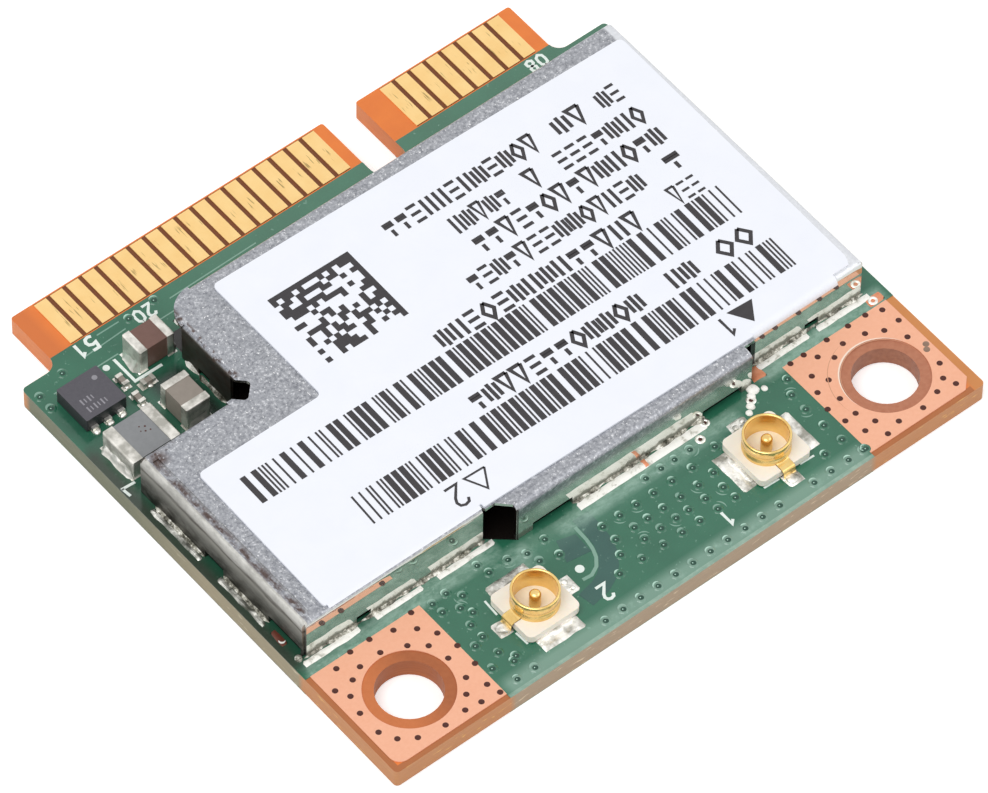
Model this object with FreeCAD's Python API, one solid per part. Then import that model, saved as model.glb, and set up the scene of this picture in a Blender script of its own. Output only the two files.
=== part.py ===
import FreeCAD, Part
import math
import os

# Wireless network card of the half-length mini-card size, all sizes in millimetres.
# +Y points to the edge-connector tongue, +X to the short group of contacts, +Z out of the shielded side.
# The origin is the middle of the card's outline, on the plane that the copper of the underside reaches.

Vec = FreeCAD.Vector
Z_AXIS = Vec(0, 0, 1)

# Board outline
BOARD_WIDTH = 29.90
BOARD_LENGTH = 26.70
CARD_THICKNESS = 1.00
FOIL = 0.04
MASK = 0.03
CORNER_RADIUS = 0.20
TONGUE_LENGTH = 3.10
TONGUE_LEFT_INSET = 1.82
TONGUE_RIGHT_INSET = 2.53
TONGUE_CORNER_RADIUS = 0.12
SHOULDER_RADIUS = 0.55
NOTCH_WIDTH = 1.70
NOTCH_DEPTH = 3.90
NOTCH_FROM_TONGUE_RIGHT = 8.87

# Fixing holes and the bare copper pads round them
HOLE_DIAMETER = 2.75
HOLE_FROM_SIDE = 2.85
HOLE_FROM_FRONT = 2.75
BARE_RING_DIAMETER = 3.70
PAD_WIDTH = 5.40
PAD_LENGTH = 5.38
PAD_LEFT_INSET = 0.24
PAD_RIGHT_INSET = 0.38
PAD_FRONT_INSET = 0.23
PAD_CORNER_RADIUS = 0.50
VIA_DIAMETER = 0.28
VIA_SIDE_COUNT = 8
VIA_INNER_RING = 2.22
VIA_INNER_COUNT = 15
VIA_OUTER_RING = 2.88
VIA_OUTER_COUNT = 11
VIA_OUTER_START_DEG = -52.0
VIA_OUTER_STEP_DEG = 19.5

# Edge contacts, which fill the tongue on both sides of its notch
CONTACT_PITCH = 0.80
CONTACT_WIDTH = 0.60
CONTACT_LENGTH = 2.40
CONTACT_EDGE_GAP = 0.11
CONTACT_SIDE_MARGIN = 0.50
LONG_GROUP_FROM_NOTCH = 1.69
SHORT_GROUP_FROM_NOTCH = 2.33
MASK_TO_CONTACT = 0.09

# Shield can, one folded sheet
SHEET = 0.15
BEND_RADIUS = 0.26
CAN_HEIGHT = 2.05
CAN_LEFT_INSET = 0.60
CAN_RIGHT_INSET = 0.90
CAN_FRONT_INSET = 6.43
CAN_BACK_INSET = 1.35
STEP_DEPTH = 0.76
STEP_FROM_CAN_LEFT = 9.97
STEP_FROM_CAN_RIGHT = 6.45
STEP_CHAMFER = 0.50
STEP_ROUNDING = 0.12
STEP_SLOT_END = 0.24
RELIEF_LEFT_WIDTH = 1.08
RELIEF_RIGHT_WIDTH = 0.58
RELIEF_RADIUS = 0.20
BAY_WIDTH = 5.30
BAY_LENGTH = 5.45
BAY_CORNER_RADIUS = 1.40
BAY_RELIEF_WIDTH = 0.94
BAY_RELIEF_BEYOND = 0.18
CORNER_SLIT = 0.12
CREASE_WIDTH = 0.30
CREASE_DEPTH = 0.05
CREASE_MARGIN = 0.50
FOOT_GAP_HEIGHT = 0.42
FOOT_GAP = 0.70
LEFT_FOOT_GAP = 1.15
WIDE_FOOT_GAP = 2.00

# Tinned strips that the can is soldered to, and the solder fillets on them
STRIP_OUTSIDE = 0.40
STRIP_SIDE = 0.28
STRIP_INSIDE = 0.30
STRIP_BEYOND = 0.28
SHORTEST_STRIP = 1.60
FILLET_HEIGHT = 0.22
FILLET_REACH = 0.26

# Label on top of the can, cut and laid a little askew
LABEL_THICKNESS = 0.08
LABEL_LEFT_INSET_FRONT = 1.19
LABEL_LEFT_INSET_BACK = 1.32
LABEL_RIGHT_INSET_FRONT = 0.45
LABEL_RIGHT_INSET_BACK = 0.27
LABEL_FRONT_INSET_LEFT = 0.18
LABEL_FRONT_OVERHANG_RIGHT = 0.17
LABEL_BACK_INSET_LEFT = 0.59
LABEL_BACK_INSET_RIGHT = 1.01
LABEL_BAY_MARGIN_X = 2.17
LABEL_BAY_MARGIN_Y = 2.08
LABEL_CORNER_RADIUS = 0.25
LABEL_CUT_RADIUS = 1.00
FLAP_LEFT_DEG = 32.0
FLAP_RIGHT_DEG = 88.0
FLAP_INSET = 0.15

# Coaxial antenna receptacles
COAX_LEFT_FROM_SIDE = 9.08
COAX_LEFT_FROM_FRONT = 2.72
COAX_RIGHT_FROM_SIDE = 8.98
COAX_RIGHT_FROM_FRONT = 2.83
COAX_BASE = 2.60
COAX_BASE_CORNER = 0.28
COAX_BASE_BOTTOM = 0.06
COAX_BASE_TOP = 0.40
COAX_HEIGHT = 1.25
COAX_RING_DIAMETER = 2.00
COAX_RING_WALL = 0.12
COAX_GROOVE = 0.07
COAX_GROOVE_HEIGHT = 0.34
COAX_GROOVE_ABOVE_BASE = 0.10
COAX_FLOOR = 0.22
COAX_PIN_DIAMETER = 0.48
COAX_PIN_TOP = 1.02
COAX_PIN_DOME = 0.16
COAX_TAB_WIDTH = 0.64
COAX_TAB_REACH = 0.26
COAX_FOOT_LENGTH = 1.60
COAX_FOOT_INSIDE = 0.30
COAX_FOOT_REACH = 0.12
COAX_GROUND_LAND = 2.02
COAX_SIGNAL_LAND = 0.85
COAX_TAB_LAND = 0.70
COAX_LAND_INSIDE = 0.34
COAX_LAND_REACH = 0.66
SOLDER_CREST = 0.14
SOLDER_INSET = 0.07
SOLDER_GAP = 0.02

# Parts in the open bay, each placed from the outer corner of the can's full rectangle there
CHIP_OFFSET = (1.11, -0.98)
CHIP_SIZE = 1.98
CHIP_HEIGHT = 0.72
CHIP_STANDOFF = 0.03
CHIP_EDGE_RADIUS = 0.06
CHIP_LEAD_PITCH = 0.65
CHIP_LEAD_WIDTH = 0.30
CHIP_LEAD_OUT = 0.14
CHIP_LEAD_THICKNESS = 0.20
CHIP_LAND_INSIDE = 0.20
CAPACITOR_A_OFFSET = (4.42, -0.37)
CAPACITOR_B_OFFSET = (3.84, -3.48)
CAPACITOR_LENGTH = 1.72
CAPACITOR_WIDTH = 1.20
CAPACITOR_HEIGHT = 1.24
CAPACITOR_CAP = 0.36
COIL_OFFSET = (1.33, -3.92)
COIL_LENGTH = 2.40
COIL_WIDTH = 1.98
COIL_HEIGHT = 1.00
COIL_CAP = 0.50
CAP_EDGE_RADIUS = 0.08
CAP_SKIN = 0.03
SMALL_OFFSETS = ((2.69, -0.90, 90), (2.67, -1.98, 90), (3.47, -1.53, 0))
SMALL_LENGTH = 0.60
SMALL_WIDTH = 0.30
SMALL_HEIGHT = 0.28
SMALL_CAP = 0.16
LAND_MARGIN = 0.10

# Parts under the can
LAND_STANDOFF = 0.03
WINDOW_MARGIN = 0.10
PACKAGE_CORNER = 0.05
RADIO_FROM_CAN_RIGHT = 12.55
RADIO_BELOW_CAN_MIDDLE = 0.39
RADIO_SIZE = 9.00
RADIO_HEIGHT = 0.85
RADIO_LAND_COUNT = 8
RADIO_LAND_PITCH = 0.95
RADIO_LAND_WIDTH = 0.40
RADIO_LAND_LENGTH = 0.50
FRONT_END_SIZE = 3.00
FRONT_END_HEIGHT = 0.60
FRONT_END_FROM_FRONT = 3.02
FRONT_END_FROM_LEFT = 2.40
FRONT_END_FROM_RIGHT = 3.85
SMALL_LAND_COUNT = 4
SMALL_LAND_PITCH = 0.50
SMALL_LAND_WIDTH = 0.25
SMALL_LAND_LENGTH = 0.40
MEMORY_LENGTH = 3.00
MEMORY_WIDTH = 2.00
MEMORY_FROM_BAY = 2.25
MEMORY_FROM_BACK = 1.60
CRYSTAL_LENGTH = 3.20
CRYSTAL_WIDTH = 2.50
CRYSTAL_FROM_RIGHT = 3.65
CRYSTAL_FROM_BACK = 3.70
CRYSTAL_BASE_HEIGHT = 0.45
CRYSTAL_LID_HEIGHT = 0.30
CRYSTAL_LID_INSET = 0.15
CRYSTAL_CORNER = 0.20
CRYSTAL_LAND_PITCH = 2.00
CRYSTAL_LAND_WIDTH = 1.00
CRYSTAL_LAND_LENGTH = 0.80
INNER_LENGTH = 1.00
INNER_WIDTH = 0.50
INNER_HEIGHT = 0.50
INNER_CAP = 0.25
INNER_ROW_COUNT = 4
INNER_ROW_PITCH = 1.20
INNER_ROW_FROM_RADIO = 1.60

# Levels and places worked out from the sizes above
BOARD_BOTTOM = FOIL
BOARD_TOP = CARD_THICKNESS - FOIL
COPPER_TOP = CARD_THICKNESS
CAN_TOP = COPPER_TOP + CAN_HEIGHT
HALF_W = BOARD_WIDTH / 2
HALF_L = BOARD_LENGTH / 2
SHOULDER_Y = HALF_L - TONGUE_LENGTH
TONGUE_LEFT = -HALF_W + TONGUE_LEFT_INSET
TONGUE_RIGHT = HALF_W - TONGUE_RIGHT_INSET
NOTCH_X = TONGUE_RIGHT - NOTCH_FROM_TONGUE_RIGHT
HOLE_X = HALF_W - HOLE_FROM_SIDE
HOLE_Y = -HALF_L + HOLE_FROM_FRONT
CONTACT_FRONT_Y = HALF_L - CONTACT_EDGE_GAP
CONTACT_BACK_Y = CONTACT_FRONT_Y - CONTACT_LENGTH
MASK_BACK_Y = CONTACT_BACK_Y - MASK_TO_CONTACT
LAST_LONG_X = NOTCH_X - LONG_GROUP_FROM_NOTCH
FIRST_SHORT_X = NOTCH_X + SHORT_GROUP_FROM_NOTCH
LONG_ROOM = LAST_LONG_X - TONGUE_LEFT - CONTACT_SIDE_MARGIN - CONTACT_WIDTH / 2
SHORT_ROOM = TONGUE_RIGHT - CONTACT_SIDE_MARGIN - CONTACT_WIDTH / 2 - FIRST_SHORT_X
LONG_COUNT = int(LONG_ROOM / CONTACT_PITCH) + 1
SHORT_COUNT = int(SHORT_ROOM / CONTACT_PITCH) + 1
CAN_LEFT = -HALF_W + CAN_LEFT_INSET
CAN_RIGHT = HALF_W - CAN_RIGHT_INSET
CAN_FRONT = -HALF_L + CAN_FRONT_INSET
CAN_BACK = SHOULDER_Y - CAN_BACK_INSET
STEP_FRONT = CAN_FRONT - STEP_DEPTH
STEP_START = CAN_LEFT + STEP_FROM_CAN_LEFT
STEP_END = CAN_RIGHT - STEP_FROM_CAN_RIGHT
STEP_LEFT = STEP_START - RELIEF_LEFT_WIDTH
STEP_RIGHT = STEP_END + RELIEF_RIGHT_WIDTH
BAY_X = CAN_LEFT + BAY_WIDTH
BAY_Y = CAN_BACK - BAY_LENGTH
COAX_LEFT_PLACE = (-HALF_W + COAX_LEFT_FROM_SIDE, -HALF_L + COAX_LEFT_FROM_FRONT)
COAX_RIGHT_PLACE = (HALF_W - COAX_RIGHT_FROM_SIDE, -HALF_L + COAX_RIGHT_FROM_FRONT)
RADIO_PLACE = (CAN_RIGHT - RADIO_FROM_CAN_RIGHT, (CAN_FRONT + CAN_BACK) / 2 - RADIO_BELOW_CAN_MIDDLE)
FRONT_END_Y = CAN_FRONT + FRONT_END_FROM_FRONT
FRONT_END_LEFT_PLACE = (CAN_LEFT + FRONT_END_FROM_LEFT, FRONT_END_Y)
FRONT_END_RIGHT_PLACE = (CAN_RIGHT - FRONT_END_FROM_RIGHT, FRONT_END_Y)
MEMORY_PLACE = (BAY_X + MEMORY_FROM_BAY, CAN_BACK - MEMORY_FROM_BACK)
CRYSTAL_PLACE = (CAN_RIGHT - CRYSTAL_FROM_RIGHT, CAN_BACK - CRYSTAL_FROM_BACK)


def box(x0, x1, y0, y1, z0, z1):
    return Part.makeBox(x1 - x0, y1 - y0, z1 - z0, Vec(x0, y0, z0))


def rounded_wire(corners, z):
    """Closed outline through corners (x, y, radius), each corner with its own tangent arc."""
    edges = []
    ends = []
    count = len(corners)
    for i, (x, y, radius) in enumerate(corners):
        here = Vec(x, y, z)
        before = Vec(corners[i - 1][0], corners[i - 1][1], z)
        after = Vec(corners[(i + 1) % count][0], corners[(i + 1) % count][1], z)
        if radius <= 0:
            ends.append((here, here))
            continue
        to_before = (before - here).normalize()
        to_after = (after - here).normalize()
        half = to_before.getAngle(to_after) / 2
        reach = radius / math.tan(half)
        middle = (to_before + to_after).normalize()
        centre = here + middle * (radius / math.sin(half))
        start = here + to_before * reach
        stop = here + to_after * reach
        edges.append(Part.Arc(start, centre - middle * radius, stop).toShape())
        ends.append((start, stop))
    for i in range(count):
        start = ends[i][1]
        stop = ends[(i + 1) % count][0]
        if start.distanceToPoint(stop) > 1e-6:
            edges.append(Part.LineSegment(start, stop).toShape())
    return Part.Wire(Part.__sortEdges__(edges))


def plate(corners, z0, z1):
    return Part.Face(rounded_wire(corners, z0)).extrude(Vec(0, 0, z1 - z0))


def rectangle(x0, x1, y0, y1, radius=0.0):
    return [(x0, y0, radius), (x1, y0, radius), (x1, y1, radius), (x0, y1, radius)]


def cylinder(x, y, z0, z1, diameter):
    return Part.makeCylinder(diameter / 2, z1 - z0, Vec(x, y, z0), Z_AXIS)


def turned(shape, place, degrees):
    """A shape made round the origin, turned about Z and moved to its place."""
    copy = shape.copy()
    copy.rotate(Vec(0, 0, 0), Z_AXIS, degrees)
    copy.translate(Vec(place[0], place[1], 0))
    return copy


def board_corners():
    notch_left = NOTCH_X - NOTCH_WIDTH / 2
    notch_right = NOTCH_X + NOTCH_WIDTH / 2
    notch_end = HALF_L - NOTCH_DEPTH
    notch_round = NOTCH_WIDTH / 2 - 0.001
    return [
        (-HALF_W, -HALF_L, CORNER_RADIUS),
        (HALF_W, -HALF_L, CORNER_RADIUS),
        (HALF_W, SHOULDER_Y, CORNER_RADIUS),
        (TONGUE_RIGHT, SHOULDER_Y, SHOULDER_RADIUS),
        (TONGUE_RIGHT, HALF_L, TONGUE_CORNER_RADIUS),
        (notch_right, HALF_L, TONGUE_CORNER_RADIUS),
        (notch_right, notch_end, notch_round),
        (notch_left, notch_end, notch_round),
        (notch_left, HALF_L, TONGUE_CORNER_RADIUS),
        (TONGUE_LEFT, HALF_L, TONGUE_CORNER_RADIUS),
        (TONGUE_LEFT, SHOULDER_Y, SHOULDER_RADIUS),
        (-HALF_W, SHOULDER_Y, CORNER_RADIUS),
    ]


def laminate():
    core = plate(board_corners(), BOARD_BOTTOM, BOARD_TOP)
    for side in (-1, 1):
        core = core.cut(cylinder(side * HOLE_X, HOLE_Y, 0, CARD_THICKNESS, HOLE_DIAMETER))
    return core


def contact_group(first_x, count, z0):
    """Gold fingers in a row, each a separate strip of plated copper."""
    strips = []
    for i in range(count):
        x = first_x + i * CONTACT_PITCH
        half = CONTACT_WIDTH / 2
        strips.append(box(x - half, x + half, CONTACT_BACK_Y, CONTACT_FRONT_Y, z0, z0 + FOIL))
    return Part.makeCompound(strips)


def pad_bounds(side):
    if side < 0:
        x0 = -HALF_W + PAD_LEFT_INSET
    else:
        x0 = HALF_W - PAD_RIGHT_INSET - PAD_WIDTH
    y0 = -HALF_L + PAD_FRONT_INSET
    return x0, x0 + PAD_WIDTH, y0, y0 + PAD_LENGTH


def via_places(side):
    """Two rings of vias round a fixing hole, mirrored from the left side to the right."""
    places = []
    for i in range(VIA_INNER_COUNT):
        angle = math.radians(i * 360.0 / VIA_INNER_COUNT)
        places.append((VIA_INNER_RING * math.cos(angle), VIA_INNER_RING * math.sin(angle)))
    for i in range(VIA_OUTER_COUNT):
        angle = math.radians(VIA_OUTER_START_DEG + i * VIA_OUTER_STEP_DEG)
        places.append((VIA_OUTER_RING * math.cos(angle), VIA_OUTER_RING * math.sin(angle)))
    return [(side * (HOLE_X - x), HOLE_Y + y) for x, y in places]


def via_hole(x, y, z0, z1):
    """Small hole with flat sides, light enough to be repeated."""
    corners = []
    for i in range(VIA_SIDE_COUNT):
        angle = math.radians((i + 0.5) * 360.0 / VIA_SIDE_COUNT)
        radius = VIA_DIAMETER / 2
        corners.append((x + radius * math.cos(angle), y + radius * math.sin(angle), 0.0))
    return plate(corners, z0, z1)


def mounting_pad(side, z0, with_vias):
    """Bare copper round a fixing hole; the vias open on the top and are plugged flush underneath."""
    x0, x1, y0, y1 = pad_bounds(side)
    corners = [
        (x0, y0, PAD_CORNER_RADIUS if side < 0 else 0.0),
        (x1, y0, PAD_CORNER_RADIUS if side > 0 else 0.0),
        (x1, y1, 0.0),
        (x0, y1, 0.0),
    ]
    pad = plate(corners, z0, z0 + FOIL)
    pad = pad.cut(cylinder(side * HOLE_X, HOLE_Y, z0, z0 + FOIL, BARE_RING_DIAMETER))
    if not with_vias:
        return pad
    margin = VIA_DIAMETER
    holes = []
    for x, y in via_places(side):
        if x0 + margin < x < x1 - margin and y0 + margin < y < y1 - margin:
            holes.append(via_hole(x, y, z0, z0 + FOIL))
    return pad.cut(holes)


def bent_wall(start, stop, foot=COPPER_TOP):
    """Wall of the can with its bend: outer face from start to stop, the can on its left hand."""
    run = Vec(stop[0] - start[0], stop[1] - start[1], 0)
    length = run.Length
    along = run.normalize()
    inward = Z_AXIS.cross(along)
    origin = Vec(start[0], start[1], 0)
    turn = BEND_RADIUS * (1 - math.sqrt(0.5))
    inner = BEND_RADIUS - SHEET
    inner_turn = BEND_RADIUS - inner * math.sqrt(0.5)

    def at(depth, z):
        return origin + inward * depth + Vec(0, 0, z)

    bend_z = CAN_TOP - BEND_RADIUS
    low = CAN_TOP - SHEET
    curves = [
        Part.LineSegment(at(0, foot), at(0, bend_z)),
        Part.Arc(at(0, bend_z), at(turn, CAN_TOP - turn), at(BEND_RADIUS, CAN_TOP)),
        Part.LineSegment(at(BEND_RADIUS, CAN_TOP), at(BEND_RADIUS, low)),
        Part.Arc(at(BEND_RADIUS, low), at(inner_turn, CAN_TOP - inner_turn), at(SHEET, bend_z)),
        Part.LineSegment(at(SHEET, bend_z), at(SHEET, foot)),
        Part.LineSegment(at(SHEET, foot), at(0, foot)),
    ]
    wire = Part.Wire([curve.toShape() for curve in curves])
    return Part.Face(wire).extrude(along * length)


def can_walls():
    """Name, start and stop of every wall, walking round the can with the can on the left hand."""
    slit = CORNER_SLIT
    corner = BAY_CORNER_RADIUS
    relief = BAY_RELIEF_WIDTH
    return [
        ("front left", (CAN_LEFT + slit, CAN_FRONT), (STEP_LEFT, CAN_FRONT)),
        ("front step", (STEP_START, STEP_FRONT), (STEP_END, STEP_FRONT)),
        ("front right", (STEP_RIGHT, CAN_FRONT), (CAN_RIGHT - slit, CAN_FRONT)),
        ("right", (CAN_RIGHT, CAN_FRONT + slit), (CAN_RIGHT, CAN_BACK - slit)),
        ("back", (CAN_RIGHT - slit, CAN_BACK), (BAY_X + corner, CAN_BACK)),
        ("bay side", (BAY_X, CAN_BACK - corner), (BAY_X, BAY_Y + relief)),
        ("bay back", (BAY_X - relief, BAY_Y), (CAN_LEFT + slit, BAY_Y)),
        ("left", (CAN_LEFT, BAY_Y - slit), (CAN_LEFT, CAN_FRONT + slit)),
    ]


def foot_gaps():
    """Openings under the walls: name of the wall, middle along it, width."""
    return [
        ("front left", CAN_LEFT + 2.95, FOOT_GAP),
        ("front step", STEP_START + 1.83, WIDE_FOOT_GAP),
        ("front step", STEP_END - 1.50, WIDE_FOOT_GAP),
        ("front right", CAN_RIGHT - 2.69, FOOT_GAP),
        ("right", CAN_FRONT + 4.52, FOOT_GAP),
        ("right", CAN_BACK - 5.30, FOOT_GAP),
        ("back", CAN_RIGHT - 3.85, FOOT_GAP),
        ("back", NOTCH_X, WIDE_FOOT_GAP),
        ("back", NOTCH_X - 4.90, FOOT_GAP),
        ("bay side", BAY_Y + 2.65, FOOT_GAP),
        ("bay back", CAN_LEFT + 2.15, FOOT_GAP),
        ("left", CAN_FRONT + 5.62, LEFT_FOOT_GAP),
        ("left", CAN_FRONT + 1.22, WIDE_FOOT_GAP),
    ]


def wall_box(start, stop, middle, width, outside, inside, z0, z1):
    """Box across a wall that runs along X or Y, from outside its outer face to inside it."""
    if abs(stop[0] - start[0]) > abs(stop[1] - start[1]):
        facing = -1 if stop[0] > start[0] else 1
        y_low, y_high = sorted((start[1] + facing * outside, start[1] - facing * inside))
        return box(middle - width / 2, middle + width / 2, y_low, y_high, z0, z1)
    facing = 1 if stop[1] > start[1] else -1
    x_low, x_high = sorted((start[0] + facing * outside, start[0] - facing * inside))
    return box(x_low, x_high, middle - width / 2, middle + width / 2, z0, z1)


def can_top():
    """Flat of the can inside its bends, flat out to the edge where a corner has no wall."""
    bend = BEND_RADIUS
    relief = BAY_RELIEF_WIDTH
    slot_end = CAN_FRONT - STEP_SLOT_END
    corner_end = CAN_BACK - BAY_CORNER_RADIUS
    corners = [
        (CAN_LEFT + bend, CAN_FRONT + bend, 0.0),
        (STEP_LEFT, CAN_FRONT + bend, 0.0),
        (STEP_LEFT + STEP_ROUNDING, CAN_FRONT, 0.0),
        (STEP_START - STEP_CHAMFER, CAN_FRONT, 0.0),
        (STEP_START, CAN_FRONT - STEP_CHAMFER, 0.0),
        (STEP_START, STEP_FRONT + bend, 0.0),
        (STEP_END, STEP_FRONT + bend, 0.0),
        (STEP_END, slot_end, 0.0),
        (STEP_RIGHT, slot_end, 0.0),
        (STEP_RIGHT, CAN_FRONT + bend, 0.0),
        (CAN_RIGHT - bend, CAN_FRONT + bend, 0.0),
        (CAN_RIGHT - bend, CAN_BACK - bend, 0.0),
        (BAY_X + BAY_CORNER_RADIUS, CAN_BACK - bend, 0.0),
        (BAY_X + BAY_CORNER_RADIUS, CAN_BACK, 0.0),
        (BAY_X, CAN_BACK, BAY_CORNER_RADIUS - 0.001),
        (BAY_X, corner_end, 0.0),
        (BAY_X + bend, corner_end, 0.0),
        (BAY_X + bend, BAY_Y + relief, 0.0),
        (BAY_X, BAY_Y + relief, 0.0),
        (BAY_X, BAY_Y, 0.0),
        (BAY_X - relief, BAY_Y, 0.0),
        (BAY_X - relief, BAY_Y - bend, 0.0),
        (CAN_LEFT + bend, BAY_Y - bend, 0.0),
    ]
    return plate(corners, CAN_TOP - SHEET, CAN_TOP).cut(bay_slot()).cut(side_crease())


def bay_slot():
    """Slot at 45 degrees that frees the two bends at the inner corner of the bay."""
    half = BAY_RELIEF_WIDTH / 2
    outline = rectangle(-BAY_RELIEF_WIDTH, BAY_RELIEF_BEYOND, -half, half, RELIEF_RADIUS)
    return turned(plate(outline, CAN_TOP - SHEET, CAN_TOP), (BAY_X, BAY_Y), -45.0)


def side_crease():
    """Shallow crease in the flat beside the bend of the left wall."""
    x0 = CAN_LEFT + BEND_RADIUS + CREASE_DEPTH
    y0 = CAN_FRONT + CREASE_MARGIN
    y1 = BAY_Y - CREASE_MARGIN
    return box(x0, x0 + CREASE_WIDTH, y0, y1, CAN_TOP - CREASE_DEPTH, CAN_TOP)


def shield_can():
    walls = {name: (start, stop) for name, start, stop in can_walls()}
    can = can_top().multiFuse([bent_wall(start, stop) for start, stop in walls.values()])
    for name, middle, width in foot_gaps():
        start, stop = walls[name]
        foot = COPPER_TOP
        gap = wall_box(start, stop, middle, width, SHEET, 2 * SHEET, foot, foot + FOOT_GAP_HEIGHT)
        can = can.cut(gap)
    return can.removeSplitter()


def soldered_runs():
    """Stretches of wall between the foot gaps that stand on tinned strips."""
    runs = []
    for name, start, stop in can_walls():
        axis = 0 if abs(stop[0] - start[0]) > abs(stop[1] - start[1]) else 1
        low, high = sorted((start[axis], stop[axis]))
        edges = [low - STRIP_BEYOND]
        for gap_name, middle, width in foot_gaps():
            if gap_name == name:
                edges += [middle - width / 2, middle + width / 2]
        edges = sorted(edges) + [high + STRIP_BEYOND]
        for i in range(0, len(edges), 2):
            if edges[i + 1] - edges[i] > SHORTEST_STRIP:
                runs.append((name, start, stop, edges[i], edges[i + 1]))
    return runs


def strip_reach(name):
    return STRIP_SIDE if name in ("left", "right") else STRIP_OUTSIDE


def shield_strips():
    strips = []
    for name, start, stop, low, high in soldered_runs():
        width = high - low
        middle = (low + high) / 2
        reach = strip_reach(name)
        strips.append(wall_box(start, stop, middle, width, reach, STRIP_INSIDE, BOARD_TOP, COPPER_TOP))
    return strips[0].multiFuse(strips[1:]).removeSplitter().Solids


def shield_fillets():
    """Solder drawn up the outside of each soldered foot, as a wedge against the wall."""
    wedges = []
    for name, start, stop, low, high in soldered_runs():
        along_x = abs(stop[0] - start[0]) > abs(stop[1] - start[1])
        reach = min(FILLET_REACH, strip_reach(name))
        axis = 0 if along_x else 1
        low = max(low, min(start[axis], stop[axis]))
        high = min(high, max(start[axis], stop[axis]))
        if along_x:
            facing = -1 if stop[0] > start[0] else 1
            face_y = start[1]
            profile = [
                Vec(low, face_y, COPPER_TOP),
                Vec(low, face_y + facing * reach, COPPER_TOP),
                Vec(low, face_y, COPPER_TOP + FILLET_HEIGHT),
            ]
            travel = Vec(high - low, 0, 0)
        else:
            facing = 1 if stop[1] > start[1] else -1
            face_x = start[0]
            profile = [
                Vec(face_x, low, COPPER_TOP),
                Vec(face_x + facing * reach, low, COPPER_TOP),
                Vec(face_x, low, COPPER_TOP + FILLET_HEIGHT),
            ]
            travel = Vec(0, high - low, 0)
        wedges.append(Part.Face(Part.makePolygon(profile + profile[:1])).extrude(travel))
    return Part.makeCompound(wedges)


def label():
    """Printed film on the flat of the can, its front edge pressed down over the bends beside the step."""
    bay_x = BAY_X + LABEL_BAY_MARGIN_X
    bay_y = BAY_Y - LABEL_BAY_MARGIN_Y
    front_left = (CAN_LEFT + LABEL_LEFT_INSET_FRONT, CAN_FRONT + LABEL_FRONT_INSET_LEFT)
    front_right = (CAN_RIGHT - LABEL_RIGHT_INSET_FRONT, CAN_FRONT - LABEL_FRONT_OVERHANG_RIGHT)
    back_right = (CAN_RIGHT - LABEL_RIGHT_INSET_BACK, CAN_BACK - LABEL_BACK_INSET_RIGHT)
    corners = [
        (front_left[0], front_left[1], LABEL_CORNER_RADIUS),
        (front_right[0], front_right[1], LABEL_CUT_RADIUS),
        (back_right[0], back_right[1], LABEL_CORNER_RADIUS),
        (bay_x, CAN_BACK - LABEL_BACK_INSET_LEFT, LABEL_CORNER_RADIUS),
        (bay_x, bay_y, LABEL_CORNER_RADIUS),
        (CAN_LEFT + LABEL_LEFT_INSET_BACK, bay_y, LABEL_CORNER_RADIUS),
    ]
    low = CAN_TOP
    high = CAN_TOP + LABEL_THICKNESS
    film = plate(corners, low, high)
    flat_end = CAN_FRONT + BEND_RADIUS
    beside_step = [
        box(-HALF_W, STEP_LEFT + STEP_ROUNDING, STEP_FRONT, flat_end, low, high),
        box(STEP_RIGHT, HALF_W, STEP_FRONT, flat_end, low, high),
    ]
    left_flap = label_flap(front_left[0] + FLAP_INSET, STEP_LEFT, FLAP_LEFT_DEG)
    right_flap = label_flap(STEP_RIGHT, front_right[0] - LABEL_CUT_RADIUS, FLAP_RIGHT_DEG)
    return film.cut(beside_step).fuse([left_flap, right_flap]).removeSplitter()


def label_flap(x0, x1, degrees):
    """Strip of film that follows the bend of the front wall down through an angle."""
    y = CAN_FRONT + BEND_RADIUS
    z = CAN_TOP - BEND_RADIUS
    inner = BEND_RADIUS
    outer = BEND_RADIUS + LABEL_THICKNESS

    def at(radius, angle):
        turn = math.radians(angle)
        return Vec(x0, y - radius * math.sin(turn), z + radius * math.cos(turn))

    edges = [
        Part.Arc(at(inner, 0), at(inner, degrees / 2), at(inner, degrees)).toShape(),
        Part.LineSegment(at(inner, degrees), at(outer, degrees)).toShape(),
        Part.Arc(at(outer, degrees), at(outer, degrees / 2), at(outer, 0)).toShape(),
        Part.LineSegment(at(outer, 0), at(inner, 0)).toShape(),
    ]
    return Part.Face(Part.Wire(edges)).extrude(Vec(x1 - x0, 0, 0))


def coax_base():
    """Moulded square base with the round well that the ring and the pin stand in."""
    half = COAX_BASE / 2
    well_floor = COPPER_TOP + COAX_FLOOR
    top = COPPER_TOP + COAX_BASE_TOP
    corners = rectangle(-half, half, -half, half, COAX_BASE_CORNER)
    base = plate(corners, COPPER_TOP + COAX_BASE_BOTTOM, top)
    well = cylinder(0, 0, well_floor, top, COAX_RING_DIAMETER)
    pin_hole = cylinder(0, 0, COPPER_TOP, well_floor, COAX_PIN_DIAMETER)
    half_tab = COAX_TAB_WIDTH / 2
    tab_slot = box(-half, COAX_RING_WALL - COAX_RING_DIAMETER / 2, -half_tab, half_tab, well_floor, top)
    return base.cut([well, pin_hole, tab_slot])


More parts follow.
